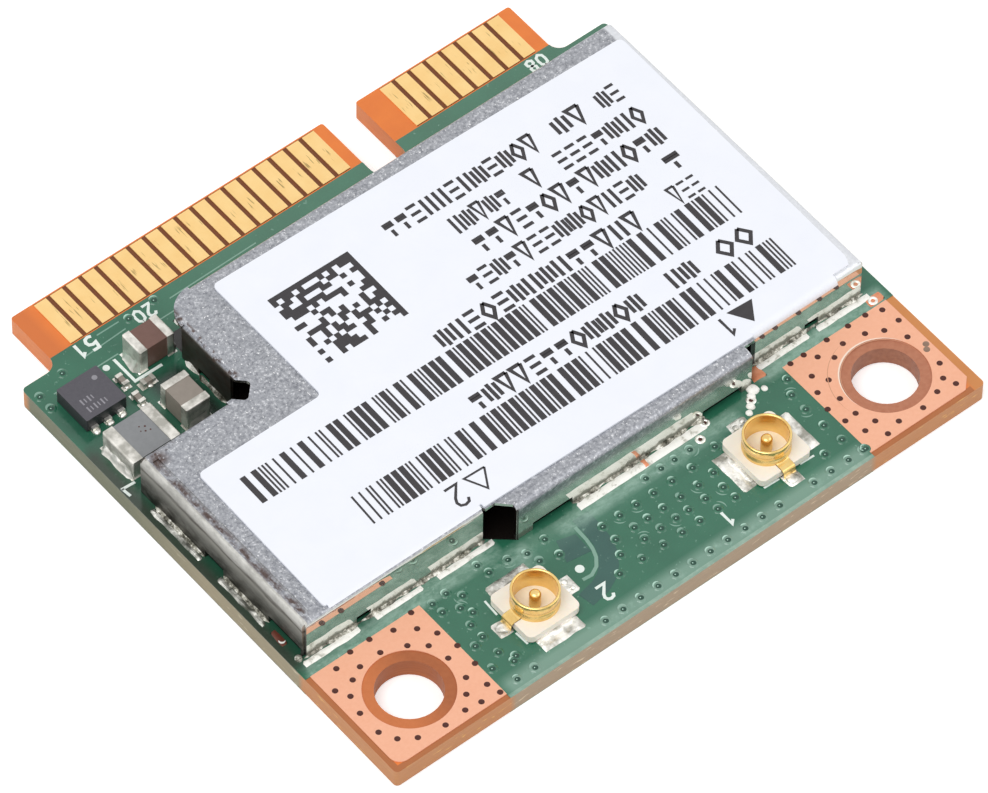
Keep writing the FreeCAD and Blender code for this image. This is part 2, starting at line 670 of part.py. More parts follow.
def coax_shell():
    """Plated ring with its detent groove and its bent ground tab, and the two feet under the base."""
    outer = COAX_RING_DIAMETER / 2
    inner = outer - COAX_RING_WALL
    low = COPPER_TOP + COAX_FLOOR
    top = COPPER_TOP + COAX_HEIGHT
    lip = COAX_RING_WALL / 2
    groove_low = COPPER_TOP + COAX_BASE_TOP + COAX_GROOVE_ABOVE_BASE
    groove_high = groove_low + COAX_GROOVE_HEIGHT
    points = [
        Vec(inner, 0, low),
        Vec(outer, 0, low),
        Vec(outer, 0, groove_low),
        Vec(outer - COAX_GROOVE, 0, groove_low + COAX_GROOVE),
        Vec(outer - COAX_GROOVE, 0, groove_high - COAX_GROOVE),
        Vec(outer, 0, groove_high),
        Vec(outer, 0, top - lip),
        Vec(outer - lip, 0, top),
        Vec(inner, 0, top - lip),
    ]
    ring = Part.Face(Part.makePolygon(points + points[:1])).revolve(Vec(0, 0, 0), Z_AXIS, 360)
    half = COAX_BASE / 2
    half_tab = COAX_TAB_WIDTH / 2
    tab_top = COPPER_TOP + COAX_BASE_TOP
    tab = box(-half, -inner - lip, -half_tab, half_tab, low, tab_top)
    drop = box(-half - COAX_TAB_REACH, -half, -half_tab, half_tab, COPPER_TOP, tab_top)
    shell = ring.fuse([tab.cut(cylinder(0, 0, low, top, 2 * inner)), drop]).removeSplitter()
    half_foot = COAX_FOOT_LENGTH / 2
    feet = []
    for side in (-1, 1):
        y0, y1 = sorted((side * (half - COAX_FOOT_INSIDE), side * (half + COAX_FOOT_REACH)))
        feet.append(box(-half_foot, half_foot, y0, y1, COPPER_TOP, COPPER_TOP + COAX_BASE_BOTTOM))
    return Part.makeCompound([shell] + feet)


def coax_pin():
    """Centre post with a domed top, and its foot under the base to the signal land."""
    radius = COAX_PIN_DIAMETER / 2
    top = COPPER_TOP + COAX_PIN_TOP
    points = [
        Vec(0, 0, COPPER_TOP),
        Vec(radius, 0, COPPER_TOP),
        Vec(radius, 0, top - COAX_PIN_DOME),
        Vec(radius * math.cos(math.radians(40)), 0, top - COAX_PIN_DOME * 0.35),
        Vec(0, 0, top),
    ]
    post = Part.Face(Part.makePolygon(points + points[:1])).revolve(Vec(0, 0, 0), Z_AXIS, 360)
    reach = COAX_BASE / 2 + COAX_FOOT_REACH
    foot = box(0, reach, -radius, radius, COPPER_TOP, COPPER_TOP + COAX_BASE_BOTTOM)
    return post.fuse(foot).removeSplitter()


def coax_land_bounds():
    """Lands of a receptacle: the two ground lands, the signal land and the land of the tab."""
    near = COAX_BASE / 2 - COAX_LAND_INSIDE
    far = COAX_BASE / 2 + COAX_LAND_REACH
    ground = COAX_GROUND_LAND / 2
    signal = COAX_SIGNAL_LAND / 2
    tab = COAX_TAB_LAND / 2
    return [
        (-ground, ground, near, far),
        (-ground, ground, -far, -near),
        (near, far, -signal, signal),
        (-far, -near, -tab, tab),
    ]


def coax_lands(place, degrees):
    lands = [box(x0, x1, y0, y1, BOARD_TOP, COPPER_TOP) for x0, x1, y0, y1 in coax_land_bounds()]
    return [turned(land, place, degrees) for land in lands]


def coax_solder(place, degrees):
    """Low crests of solder on the parts of the lands that the base and its feet leave open."""
    start = COAX_BASE / 2 + COAX_FOOT_REACH + SOLDER_GAP
    tab_start = COAX_BASE / 2 + COAX_TAB_REACH + SOLDER_GAP
    end = COAX_BASE / 2 + COAX_LAND_REACH - SOLDER_INSET
    ground = COAX_GROUND_LAND / 2 - SOLDER_INSET
    signal = COAX_SIGNAL_LAND / 2 - SOLDER_INSET
    tab = COAX_TAB_LAND / 2 - SOLDER_INSET
    bounds = [
        (-ground, ground, start, end),
        (-ground, ground, -end, -start),
        (start, end, -signal, signal),
        (-end, -tab_start, -tab, tab),
    ]
    top = COPPER_TOP + SOLDER_CREST
    return [turned(box(x0, x1, y0, y1, COPPER_TOP, top), place, degrees) for x0, x1, y0, y1 in bounds]


def two_ended(place, degrees, length, width, height, cap, edge_radius):
    """Chip part with a plated cap on each end: its body and its two caps."""
    low = COPPER_TOP
    body = box(-length / 2 + cap, length / 2 - cap, -width / 2 + CAP_SKIN, width / 2 - CAP_SKIN,
               low + CAP_SKIN, low + height - CAP_SKIN)
    caps = []
    for side in (-1, 1):
        outer_x = side * length / 2
        x0, x1 = sorted((outer_x, outer_x - side * cap))
        block = box(x0, x1, -width / 2, width / 2, low, low + height)
        if edge_radius > 0:
            rim = [edge for edge in block.Edges if abs(edge.CenterOfMass.x - outer_x) < 1e-6]
            block = block.makeFillet(edge_radius, rim)
        caps.append(block)
    return turned(body, place, degrees), [turned(piece, place, degrees) for piece in caps]


def two_ended_lands(place, degrees, length, width, cap):
    lands = []
    half = width / 2 + LAND_MARGIN / 2
    for side in (-1, 1):
        x0, x1 = sorted((side * (length / 2 + LAND_MARGIN), side * (length / 2 - cap)))
        lands.append(turned(box(x0, x1, -half, half, BOARD_TOP, COPPER_TOP), place, degrees))
    return lands


def bay_place(offset):
    """Place in the bay, measured from the outer corner of the can's full rectangle."""
    return (CAN_LEFT + offset[0], CAN_BACK + offset[1])


def regulator_lead_rows(near, far, width):
    """Bounds of the three leads, or of their lands, along the front and the back of the regulator."""
    rows = []
    for side in (-1, 1):
        for i in (-1, 0, 1):
            x = i * CHIP_LEAD_PITCH
            y0, y1 = sorted((side * near, side * far))
            rows.append((x - width / 2, x + width / 2, y0, y1))
    return rows


def regulator():
    """Small square regulator: moulded body with three leads along its front and its back."""
    half = CHIP_SIZE / 2
    corners = rectangle(-half, half, -half, half, CHIP_EDGE_RADIUS)
    body = plate(corners, COPPER_TOP + CHIP_STANDOFF, COPPER_TOP + CHIP_HEIGHT)
    lead_top = COPPER_TOP + CHIP_LEAD_THICKNESS
    rows = regulator_lead_rows(half, half + CHIP_LEAD_OUT, CHIP_LEAD_WIDTH)
    leads = [box(x0, x1, y0, y1, COPPER_TOP, lead_top) for x0, x1, y0, y1 in rows]
    place = bay_place(CHIP_OFFSET)
    return turned(body, place, 0), [turned(lead, place, 0) for lead in leads]


def regulator_lands():
    half = CHIP_SIZE / 2
    far = half + CHIP_LEAD_OUT + LAND_MARGIN / 2
    rows = regulator_lead_rows(half - CHIP_LAND_INSIDE, far, CHIP_LEAD_WIDTH + LAND_MARGIN / 2)
    lands = [box(x0, x1, y0, y1, BOARD_TOP, COPPER_TOP) for x0, x1, y0, y1 in rows]
    return [turned(land, bay_place(CHIP_OFFSET), 0) for land in lands]


def package(place, length, width, height, corner=PACKAGE_CORNER):
    """Moulded package standing on its lands."""
    x, y = place
    corners = rectangle(x - length / 2, x + length / 2, y - width / 2, y + width / 2, corner)
    return plate(corners, COPPER_TOP + LAND_STANDOFF, COPPER_TOP + height)


def package_lands(place, length, width, counts, pitch, land_width, land_length):
    """Solder lands under the rim of a package, in rows along its front and back and along its sides."""
    count_x, count_y = counts
    half = land_width / 2
    top = COPPER_TOP + LAND_STANDOFF
    lands = []
    for side in (-1, 1):
        for i in range(count_x):
            x = (i - (count_x - 1) / 2) * pitch
            y0, y1 = sorted((side * width / 2, side * (width / 2 - land_length)))
            lands.append(box(x - half, x + half, y0, y1, BOARD_TOP, top))
        for i in range(count_y):
            y = (i - (count_y - 1) / 2) * pitch
            x0, x1 = sorted((side * length / 2, side * (length / 2 - land_length)))
            lands.append(box(x0, x1, y - half, y + half, BOARD_TOP, top))
    return [turned(land, place, 0) for land in lands]


def inner_row_places():
    x = RADIO_PLACE[0] - RADIO_SIZE / 2 - INNER_ROW_FROM_RADIO
    middle = (INNER_ROW_COUNT - 1) / 2
    return [(x, RADIO_PLACE[1] + (i - middle) * INNER_ROW_PITCH) for i in range(INNER_ROW_COUNT)]


def mask_window(solids, z0, z1, margin):
    """Opening in the mask that frames some lands."""
    bounds = Part.makeCompound(solids).BoundBox
    x0, x1 = bounds.XMin - margin, bounds.XMax + margin
    y0, y1 = bounds.YMin - margin, bounds.YMax + margin
    return box(x0, x1, y0, y1, z0, z1)


def mask(z0, z1, windows):
    """Green solder mask that ends at the foot of the contacts and leaves the fixing pads bare."""
    film = plate(board_corners(), z0, z1)
    bare = [box(-BOARD_WIDTH, BOARD_WIDTH, MASK_BACK_Y, BOARD_LENGTH, z0, z1)]
    for side in (-1, 1):
        x0, x1, y0, y1 = pad_bounds(side)
        outer = side * BOARD_WIDTH
        x_low, x_high = sorted((outer, x1 if side < 0 else x0))
        bare.append(box(x_low, x_high, -BOARD_LENGTH, y1, z0, z1))
    return film.cut(bare + windows)


def board_nodes():
    nodes = {"board_laminate": laminate()}
    first_long_x = LAST_LONG_X - (LONG_COUNT - 1) * CONTACT_PITCH
    for face, z0 in (("top", BOARD_TOP), ("bottom", 0.0)):
        nodes["contacts_%s_long" % face] = contact_group(first_long_x, LONG_COUNT, z0)
        nodes["contacts_%s_short" % face] = contact_group(FIRST_SHORT_X, SHORT_COUNT, z0)
        nodes["mounting_pad_%s_left" % face] = mounting_pad(-1, z0, face == "top")
        nodes["mounting_pad_%s_right" % face] = mounting_pad(1, z0, face == "top")
    return nodes


def coax_nodes(number, place, degrees):
    """Nodes of one receptacle, and its lands."""
    name = "coax_%d_" % number
    lands = coax_lands(place, degrees)
    nodes = {
        name + "base": turned(coax_base(), place, degrees),
        name + "shell": turned(coax_shell(), place, degrees),
        name + "pin": turned(coax_pin(), place, degrees),
        name + "lands": Part.makeCompound(lands),
        name + "solder": Part.makeCompound(coax_solder(place, degrees)),
    }
    return nodes, lands


def chip_part_nodes():
    """Nodes of all two-ended parts, with the lands of those in the bay and of those under the can."""
    capacitor = (CAPACITOR_LENGTH, CAPACITOR_WIDTH, CAPACITOR_HEIGHT, CAPACITOR_CAP)
    coil = (COIL_LENGTH, COIL_WIDTH, COIL_HEIGHT, COIL_CAP)
    small = (SMALL_LENGTH, SMALL_WIDTH, SMALL_HEIGHT, SMALL_CAP)
    inner = (INNER_LENGTH, INNER_WIDTH, INNER_HEIGHT, INNER_CAP)
    parts = [
        ("capacitor_a", bay_place(CAPACITOR_A_OFFSET), 0, capacitor, CAP_EDGE_RADIUS),
        ("capacitor_b", bay_place(CAPACITOR_B_OFFSET), 90, capacitor, CAP_EDGE_RADIUS),
        ("coil", bay_place(COIL_OFFSET), 0, coil, CAP_EDGE_RADIUS),
    ]
    for i, (x, y, degrees) in enumerate(SMALL_OFFSETS):
        parts.append(("small_part_%d" % (i + 1), bay_place((x, y)), degrees, small, 0.0))
    for i, place in enumerate(inner_row_places()):
        parts.append(("inner_part_%d" % (i + 1), place, 0, inner, 0.0))
    nodes = {}
    lands = []
    for name, place, degrees, (length, width, height, cap), edge_radius in parts:
        body, caps = two_ended(place, degrees, length, width, height, cap, edge_radius)
        nodes[name + "_body"] = body
        nodes[name + "_caps"] = Part.makeCompound(caps)
        lands += two_ended_lands(place, degrees, length, width, cap)
    return nodes, lands


def package_nodes():
    """Nodes of the packages under the can, and the lands of each."""
    radio = (RADIO_SIZE, RADIO_SIZE, RADIO_HEIGHT)
    front_end = (FRONT_END_SIZE, FRONT_END_SIZE, FRONT_END_HEIGHT)
    memory = (MEMORY_LENGTH, MEMORY_WIDTH, FRONT_END_HEIGHT)
    radio_lands = ((RADIO_LAND_COUNT,) * 2, RADIO_LAND_PITCH, RADIO_LAND_WIDTH, RADIO_LAND_LENGTH)
    small_lands = (SMALL_LAND_PITCH, SMALL_LAND_WIDTH, SMALL_LAND_LENGTH)
    all_round = ((SMALL_LAND_COUNT,) * 2,) + small_lands
    two_rows = ((SMALL_LAND_COUNT, 0),) + small_lands
    packages = [
        ("radio_chip", RADIO_PLACE, radio, radio_lands),
        ("memory_chip", MEMORY_PLACE, memory, two_rows),
        ("front_end_1", FRONT_END_LEFT_PLACE, front_end, all_round),
        ("front_end_2", FRONT_END_RIGHT_PLACE, front_end, all_round),
    ]
    nodes = {}
    groups = []
    for name, place, (length, width, height), land_sizes in packages:
        lands = package_lands(place, length, width, *land_sizes)
        nodes[name] = package(place, length, width, height)
        nodes[name + "_lands"] = Part.makeCompound(lands)
        groups.append(lands)
    return nodes, groups


def crystal_nodes():
    """Nodes of the crystal with its metal lid, and its lands."""
    x, y = CRYSTAL_PLACE
    half_x = CRYSTAL_LENGTH / 2 - CRYSTAL_LID_INSET
    half_y = CRYSTAL_WIDTH / 2 - CRYSTAL_LID_INSET
    base_top = COPPER_TOP + CRYSTAL_BASE_HEIGHT
    lid = rectangle(x - half_x, x + half_x, y - half_y, y + half_y, CRYSTAL_CORNER)
    lands = package_lands(CRYSTAL_PLACE, CRYSTAL_LENGTH, CRYSTAL_WIDTH, (2, 0),
                          CRYSTAL_LAND_PITCH, CRYSTAL_LAND_WIDTH, CRYSTAL_LAND_LENGTH)
    base = package(CRYSTAL_PLACE, CRYSTAL_LENGTH, CRYSTAL_WIDTH, CRYSTAL_BASE_HEIGHT, CRYSTAL_CORNER)
    nodes = {
        "crystal_base": base,
        "crystal_lid": plate(lid, base_top, base_top + CRYSTAL_LID_HEIGHT),
        "crystal_lands": Part.makeCompound(lands),
    }
    return nodes, lands


def build():
    nodes = board_nodes()
    strips = shield_strips()
    nodes["shield_strips"] = Part.makeCompound(strips)
    nodes["shield_can"] = shield_can()
    nodes["shield_solder"] = shield_fillets()
    nodes["label"] = label()
    open_lands = list(strips)

    for number, place, degrees in ((1, COAX_RIGHT_PLACE, 90), (2, COAX_LEFT_PLACE, 0)):
        receptacle, lands = coax_nodes(number, place, degrees)
        nodes.update(receptacle)
        open_lands += lands

    body, leads = regulator()
    nodes["regulator_body"] = body
    nodes["regulator_leads"] = Part.makeCompound(leads)
    chip_parts, part_lands = chip_part_nodes()
    nodes.update(chip_parts)
    part_lands += regulator_lands()
    nodes["part_lands"] = Part.makeCompound(part_lands)
    open_lands += part_lands

    packages, groups = package_nodes()
    nodes.update(packages)
    crystal, lands = crystal_nodes()
    nodes.update(crystal)
    groups.append(lands)

    low, high = BOARD_TOP, BOARD_TOP + MASK
    windows = [mask_window([land], low, high, 0.0) for land in open_lands]
    windows += [mask_window(group, low, high, WINDOW_MARGIN) for group in groups]
    nodes["solder_mask_top"] = mask(low, high, windows)
    nodes["solder_mask_bottom"] = mask(BOARD_BOTTOM - MASK, BOARD_BOTTOM, [])
    return nodes


os.makedirs("parts", exist_ok=True)
for node_name, node_shape in build().items():
    node_shape.exportStep(os.path.join("parts", node_name + ".step"))
    print(node_name, len(node_shape.Solids), round(node_shape.Volume, 4), node_shape.isValid())
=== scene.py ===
import math
import random
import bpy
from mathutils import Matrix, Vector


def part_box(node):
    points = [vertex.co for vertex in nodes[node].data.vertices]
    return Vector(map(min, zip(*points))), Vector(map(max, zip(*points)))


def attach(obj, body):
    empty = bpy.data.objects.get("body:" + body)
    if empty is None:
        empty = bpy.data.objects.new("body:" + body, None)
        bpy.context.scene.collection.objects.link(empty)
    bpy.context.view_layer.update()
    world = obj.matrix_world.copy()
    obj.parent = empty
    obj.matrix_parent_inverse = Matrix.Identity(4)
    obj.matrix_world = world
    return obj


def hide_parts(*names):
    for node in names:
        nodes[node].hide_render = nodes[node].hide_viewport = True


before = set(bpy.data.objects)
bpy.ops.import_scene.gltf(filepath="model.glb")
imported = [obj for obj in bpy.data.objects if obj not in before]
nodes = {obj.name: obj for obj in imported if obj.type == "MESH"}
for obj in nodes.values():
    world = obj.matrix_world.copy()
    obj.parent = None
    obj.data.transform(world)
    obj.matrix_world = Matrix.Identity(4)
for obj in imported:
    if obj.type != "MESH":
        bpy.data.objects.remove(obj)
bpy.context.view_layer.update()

from fnmatch import fnmatch

import bmesh
import bpy
from mathutils import Matrix, Vector, noise
from mathutils.geometry import tessellate_polygon

# Lengths in this script are millimetres unless a name says otherwise; pieces are scaled to metres once.
MM = 0.001

# Camera, solved from the card in the photograph
CAMERA_AZIMUTH_DEG = -40.011
CAMERA_ELEVATION_DEG = 53.078
CAMERA_ROLL_DEG = 0.997
CAMERA_DISTANCE = 363.6
CAMERA_TARGET = (-0.637, -1.711, 1.0)
CAMERA_LENS = 335.7
CAMERA_SENSOR = 36.0


def node_box(name):
    """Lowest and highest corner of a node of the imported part, in millimetres."""
    low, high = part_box(name)
    return low / MM, high / MM


BOARD_LOW, BOARD_HIGH = node_box("board_laminate")
CAN_LOW, CAN_HIGH = node_box("shield_can")
BOARD_TOP = BOARD_HIGH.z
COPPER_TOP = node_box("mounting_pad_top_left")[1].z
MASK_TOP = node_box("solder_mask_top")[1].z
LABEL_TOP = node_box("label")[1].z

# Fixing holes and the bare ring round them
HOLE_X = 12.10
HOLE_Y = -10.60
BARE_RING_RADIUS = 1.85
HOLE_RADIUS = 1.375

# The bay that is cut out of the can, and the front wall with its step
SHEET = 0.15
BAY_X = -9.05
BAY_Y = 3.45
FRONT_WALL_Y = -6.92
STEP_WALL_Y = -7.68
STEP_LEFT_X = -4.38
STEP_RIGHT_X = 7.60
RELIEF_RIGHT_X = 8.42
# The wall at the step's left end is cut along the line y + CUT_SLOPE * x = CUT_LINE
CUT_SLOPE = 0.847
CUT_LINE = -11.39


def rgba(color):
    """Linear colour from the sRGB hex code that it has on screen."""
    channels = [int(color[i:i + 2], 16) / 255 for i in (1, 3, 5)]
    linear = [c / 12.92 if c <= 0.04045 else ((c + 0.055) / 1.055) ** 2.4 for c in channels]
    return (*linear, 1.0)


def feed(socket, value):
    """Links a socket to another one, or sets its number or colour."""
    if isinstance(value, bpy.types.NodeSocket):
        socket.id_data.links.new(value, socket)
    else:
        socket.default_value = rgba(value) if isinstance(value, str) else value


def new_node(tree, kind, *values, **settings):
    """New shader node with these settings; the values go into its first sockets."""
    made = tree.nodes.new("ShaderNode" + kind)
    for name, value in settings.items():
        setattr(made, name, value)
    for socket, value in zip(made.inputs, values):
        feed(socket, value)
    return made


class Surface:
    """Node material under construction. Places in it are in millimetres."""

    def __init__(self, name, color, roughness, metallic=0.0):
        self.material = bpy.data.materials.new(name)
        self.material.use_nodes = True
        self.tree = self.material.node_tree
        self.shader = self.tree.nodes["Principled BSDF"]
        self.paint(color)
        self.set("Roughness", roughness)
        self.set("Metallic", metallic)
        metres = self.node("TexCoord").outputs["Object"]
        scaled = self.node("VectorMath", metres, operation="SCALE")
        scaled.inputs["Scale"].default_value = 1.0 / MM
        self.place = scaled.outputs[0]
        self.x, self.y, self.z = self.node("SeparateXYZ", self.place).outputs

    def node(self, kind, *values, **settings):
        return new_node(self.tree, kind, *values, **settings)

    def set(self, name, value):
        feed(self.shader.inputs[name], value)

    def paint(self, color):
        self.set("Base Color", color)

    def math(self, operation, first, second, clamp=False):
        return self.node("Math", first, second, operation=operation, use_clamp=clamp).outputs[0]

    def times(self, first, second):
        return self.math("MULTIPLY", first, second)

    def under(self, value, limit):
        """1 where the value is under the limit."""
        return self.math("LESS_THAN", value, limit)

    def either(self, *values):
        """Largest of several masks."""
        result = values[0]
        for value in values[1:]:
            result = self.math("MAXIMUM", result, value)
        return result

    def noise(self, per_mm, detail=3.0, roughness=0.55, stretch=(1.0, 1.0, 1.0)):
        """Noise with this many grains to the millimetre, from 0 to 1."""
        mapping = self.node("Mapping", self.place)
        mapping.inputs["Scale"].default_value = stretch
        grain = self.node("TexNoise", mapping.outputs[0])
        for name, value in (("Scale", per_mm), ("Detail", detail), ("Roughness", roughness)):
            grain.inputs[name].default_value = value
        return grain.outputs["Fac"]

    def ramp(self, factor, *stops):
        """Colour that goes through the stops, each a place and a colour."""
        made = self.node("ValToRGB", factor)
        elements = made.color_ramp.elements
        while len(elements) < len(stops):
            elements.new(0.5)
        for element, (place, color) in zip(elements, stops):
            element.position = place
            element.color = rgba(color)
        return made.outputs[0]

    def above(self, value, level, soft=0.03):
        """1 where the value is over this level, with a soft rise."""
        return self.math("DIVIDE", self.math("SUBTRACT", value, level), soft, clamp=True)

    def span(self, value, low, high, soft=0.03):
        """1 where the value lies between low and high, with soft ends."""
        fall = self.math("DIVIDE", self.math("SUBTRACT", high, value), soft, clamp=True)
        return self.times(self.above(value, low, soft), fall)

    def zone(self, x0, x1, y0, y1, soft=0.03):
        return self.times(self.span(self.x, x0, x1, soft), self.span(self.y, y0, y1, soft))

    def disc(self, x, y, radius):
        """1 within this distance of an upright axis."""
        across = self.math("SUBTRACT", self.x, x)
        along = self.math("SUBTRACT", self.y, y)
        squares = self.math("ADD", self.times(across, across), self.times(along, along))
        return self.under(squares, radius ** 2)

    def facing_up(self, start=0.2, end=0.9):
        """1 on faces that look up, 0 on upright ones."""
        normal = self.node("NewGeometry").outputs["Normal"]
        return self.above(self.node("SeparateXYZ", normal).outputs[2], start, end - start)

    def mix(self, factor, first, second):
        made = self.node("Mix", factor, data_type="RGBA")
        feed(made.inputs[6], first)
        feed(made.inputs[7], second)
        return made.outputs[2]

    def tint(self, base, mask, color, amount):
        """Base colour, turned this much to the other colour where the mask is 1."""
        return self.mix(self.times(mask, amount), base, color)

    def level(self, factor, low, high):
        """Number that goes from low to high with the factor."""
        return self.math("ADD", self.times(factor, high - low), low)

    def bump(self, height, depth, strength=0.5, before=None):
        """Bump of this depth in millimetres."""
        made = self.node("Bump")
        made.inputs["Strength"].default_value = strength
        made.inputs["Distance"].default_value = depth * MM
        feed(made.inputs["Height"], height)
        if before is not None:
            feed(made.inputs["Normal"], before)
        self.set("Normal", made.outputs[0])
        return made.outputs[0]


# Materials

def inside_can(s):
    """1 in the space under the can, where hardly any light comes; the materials paint that shade near black
    there, also in the relief slot beside the step.
    """
    inner_front = FRONT_WALL_Y + 0.20
    inner_left = -14.20
    inner_right = 13.90
    whole = s.zone(inner_left, inner_right, FRONT_WALL_Y + SHEET, BAY_Y - SHEET, 0.02)
    beside_bay = s.zone(BAY_X + SHEET, inner_right, BAY_Y - 0.20, 8.75, 0.02)
    step = s.zone(STEP_LEFT_X, STEP_RIGHT_X, STEP_WALL_Y + 0.17, inner_front, 0.02)
    slant = s.math("ADD", s.y, s.times(s.x, CUT_SLOPE))
    cut = s.times(s.zone(-5.35, STEP_LEFT_X + 0.1, -7.80, inner_front, 0.02), s.above(slant, CUT_LINE))
    # Relief slot beside the step, where painted shade shows through the wall
    relief = s.zone(STEP_RIGHT_X, RELIEF_RIGHT_X, FRONT_WALL_Y - 0.03, inner_front, 0.02)
    low = s.under(s.z, CAN_HIGH.z - 0.14)
    return s.times(low, s.either(whole, beside_bay, step, cut, relief))


def board_top(s, fibre, rough):
    """Orange laminate that shows beside the pads, in their rings and between the contacts."""
    orange = s.mix(s.noise(1.2), "#EC8439", "#DC7434")
    orange = s.tint(orange, s.above(s.x, 14.2, 0.3), s.mix(fibre, "#BE7C44", "#D08E54"), 0.9)
    orange = s.tint(orange, s.zone(-15.0, -12.2, 9.0, 14.0, 0.4), "#CF7037", 0.8)
    pad_margin = s.either(s.zone(-15.2, 14.40, -13.5, -13.06), s.zone(-15.2, -14.66, -13.5, -7.6))
    orange = s.mix(pad_margin, orange, s.mix(fibre, "#A35E32", "#B77142"))
    gaps = s.either(s.zone(-12.04, 2.16, 10.80, 13.30, 0.02), s.zone(5.58, 11.78, 10.80, 13.30, 0.02))
    top = s.mix(gaps, orange, s.mix(s.noise(4.0), "#5E2C05", "#7A3E0C"))
    ring = BARE_RING_RADIUS + 0.02
    shaded = s.above(s.x, -HOLE_X - 0.9, 1.8)
    left = s.mix(shaded, s.mix(rough, "#C06A36", "#CE7844"), s.mix(rough, "#9E542A", "#AE6438"))
    top = s.mix(s.disc(-HOLE_X, HOLE_Y, ring), top, left)
    return s.mix(s.disc(HOLE_X, HOLE_Y, ring), top, s.mix(rough, "#A46144", "#C08163"))


def board_sides(s, fibre, rough):
    """Sawn edges: orange at the pads and the tongue, beige with flecks of fibre beside the mask."""
    fleck = s.above(s.noise(2.6, stretch=(0.5, 0.5, 3.0)), 0.64, 0.05)
    edge = s.mix(fleck, s.mix(fibre, "#B4713F", "#CD935F"), "#E5B25E")
    beige = s.mix(fleck, s.mix(fibre, "#857A60", "#A89C7E"), "#C4B99C")
    front = s.mix(fleck, s.mix(fibre, "#94806A", "#B79E80"), "#D2BC9C")
    beige = s.mix(s.above(s.y, -12.9, 0.2), front, beige)
    left_back = s.times(s.under(s.x, BOARD_LOW.x + 0.1), s.above(s.y, -1.5, 5.0))
    beige = s.mix(left_back, beige, s.mix(fibre, "#5C5E47", "#7C7F66"))
    beside_mask = s.either(s.zone(-20.0, 20.0, -7.6, 10.0, 0.3), s.zone(-9.3, 9.3, -20.0, -7.0, 0.3))
    side = s.mix(beside_mask, edge, beige)
    side = s.mix(s.above(s.y, 10.2, 0.25), side, s.mix(fibre, "#D5763A", "#E58E50"))
    right_half = s.above(s.x, 0.0, 0.5)
    wall = s.mix(right_half, s.mix(fibre, "#9C5226", "#C0703A"), s.mix(rough, "#8E5037", "#BF8464"))
    holes = s.either(*(s.disc(x, HOLE_Y, HOLE_RADIUS + 0.03) for x in (-HOLE_X, HOLE_X)))
    return s.mix(holes, side, wall)


def laminate_surface():
    """Glass-fibre board."""
    s = Surface("laminate", "#E07A34", 0.45)
    fibre = s.noise(3.0, 4.0, stretch=(0.25, 0.25, 6.0))
    rough = s.noise(5.0, 4.0)
    s.paint(s.mix(s.facing_up(), board_sides(s, fibre, rough), board_top(s, fibre, rough)))
    s.bump(s.mix(0.5, fibre, rough), 0.02, 0.7)
    return s


def mask_surface(name, dark, light):
    """Green solder mask: glossy lacquer with a fine ripple, paler where it thins over copper edges. Pale
    patches at the front and streaks by the walls are painted sheen; darker zones at the left, in the bay and
    under the can are painted shade.
    """
    s = Surface(name, dark, 0.24)
    green = s.mix(s.noise(0.5, 2.0), dark, light)
    pale = s.above(s.noise(1.1, 4.0, 0.65), 0.56, 0.16)
    streaks = s.above(s.noise(2.6, 4.0, 0.7, (0.6, 1.0, 1.0)), 0.40, 0.26)
    # Painted sheen: pale clouds at the front and pale streaks by the walls, where the glossy lacquer reflects
    # the light
    front = s.either(s.zone(-9.3, 9.2, -13.4, -12.45, 0.35), s.zone(-6.5, 5.6, -9.3, -7.6, 0.7))
    green = s.tint(green, s.times(s.level(pale, 0.25, 1.0), front), "#8AB09E", 0.6)
    sheen_by_wall = s.either(s.zone(-14.9, -5.0, -8.1, -6.8, 0.35), s.zone(7.9, 14.9, -8.1, -6.8, 0.35),
                       s.zone(-5.6, -4.1, -9.3, -7.6, 0.5), s.zone(-3.0, 6.5, -8.9, -7.9, 0.35))
    green = s.tint(green, s.times(s.level(streaks, 0.35, 0.95), sheen_by_wall), "#95B5A6", 0.8)
    back_strip = s.times(s.above(s.y, CAN_HIGH.y - 0.1, 0.3), s.above(s.x, -9.0, 4.0))
    green = s.tint(green, back_strip, "#86A390", 0.15)
    green = s.tint(green, s.zone(-9.4, 9.3, -13.8, -12.3, 0.5), "#A9C4B6", 0.34)
    rim = s.times(s.under(s.y, BOARD_LOW.y + 0.16), s.level(streaks, 0.35, 0.9))
    green = s.tint(green, rim, "#A5BFAE", 0.8)
    green = s.tint(green, s.above(s.noise(4.2, 3.0, 0.6), 0.66, 0.05), "#9CC4B2", 0.30)
    # Painted shade over the left part of the board and in the bay; beside the can's left wall, painted shadow
    # mixed with flux stain; deepest painted shade in the bay's corner by the can
    green = s.tint(green, s.zone(-15.2, -9.0, -7.7, 8.6, 0.5), "#20493A", 0.35)
    green = s.tint(green, s.zone(-15.8, CAN_LOW.x + 0.3, -7.6, 6.5, 0.7), "#30342A", 0.85)
    green = s.tint(green, s.zone(-11.2, BAY_X, BAY_Y - 0.1, 7.6, 0.5), "#101A14", 0.8)
    # Painted shade, near black, in the space under the can
    s.paint(s.mix(inside_can(s), green, "#181412"))
    s.set("Coat Weight", 0.35)
    s.set("Coat Roughness", 0.1)
    fine = s.bump(s.noise(7.0), 0.01)
    s.bump(s.noise(2.2, 2.0), 0.04, 0.6, fine)
    return s


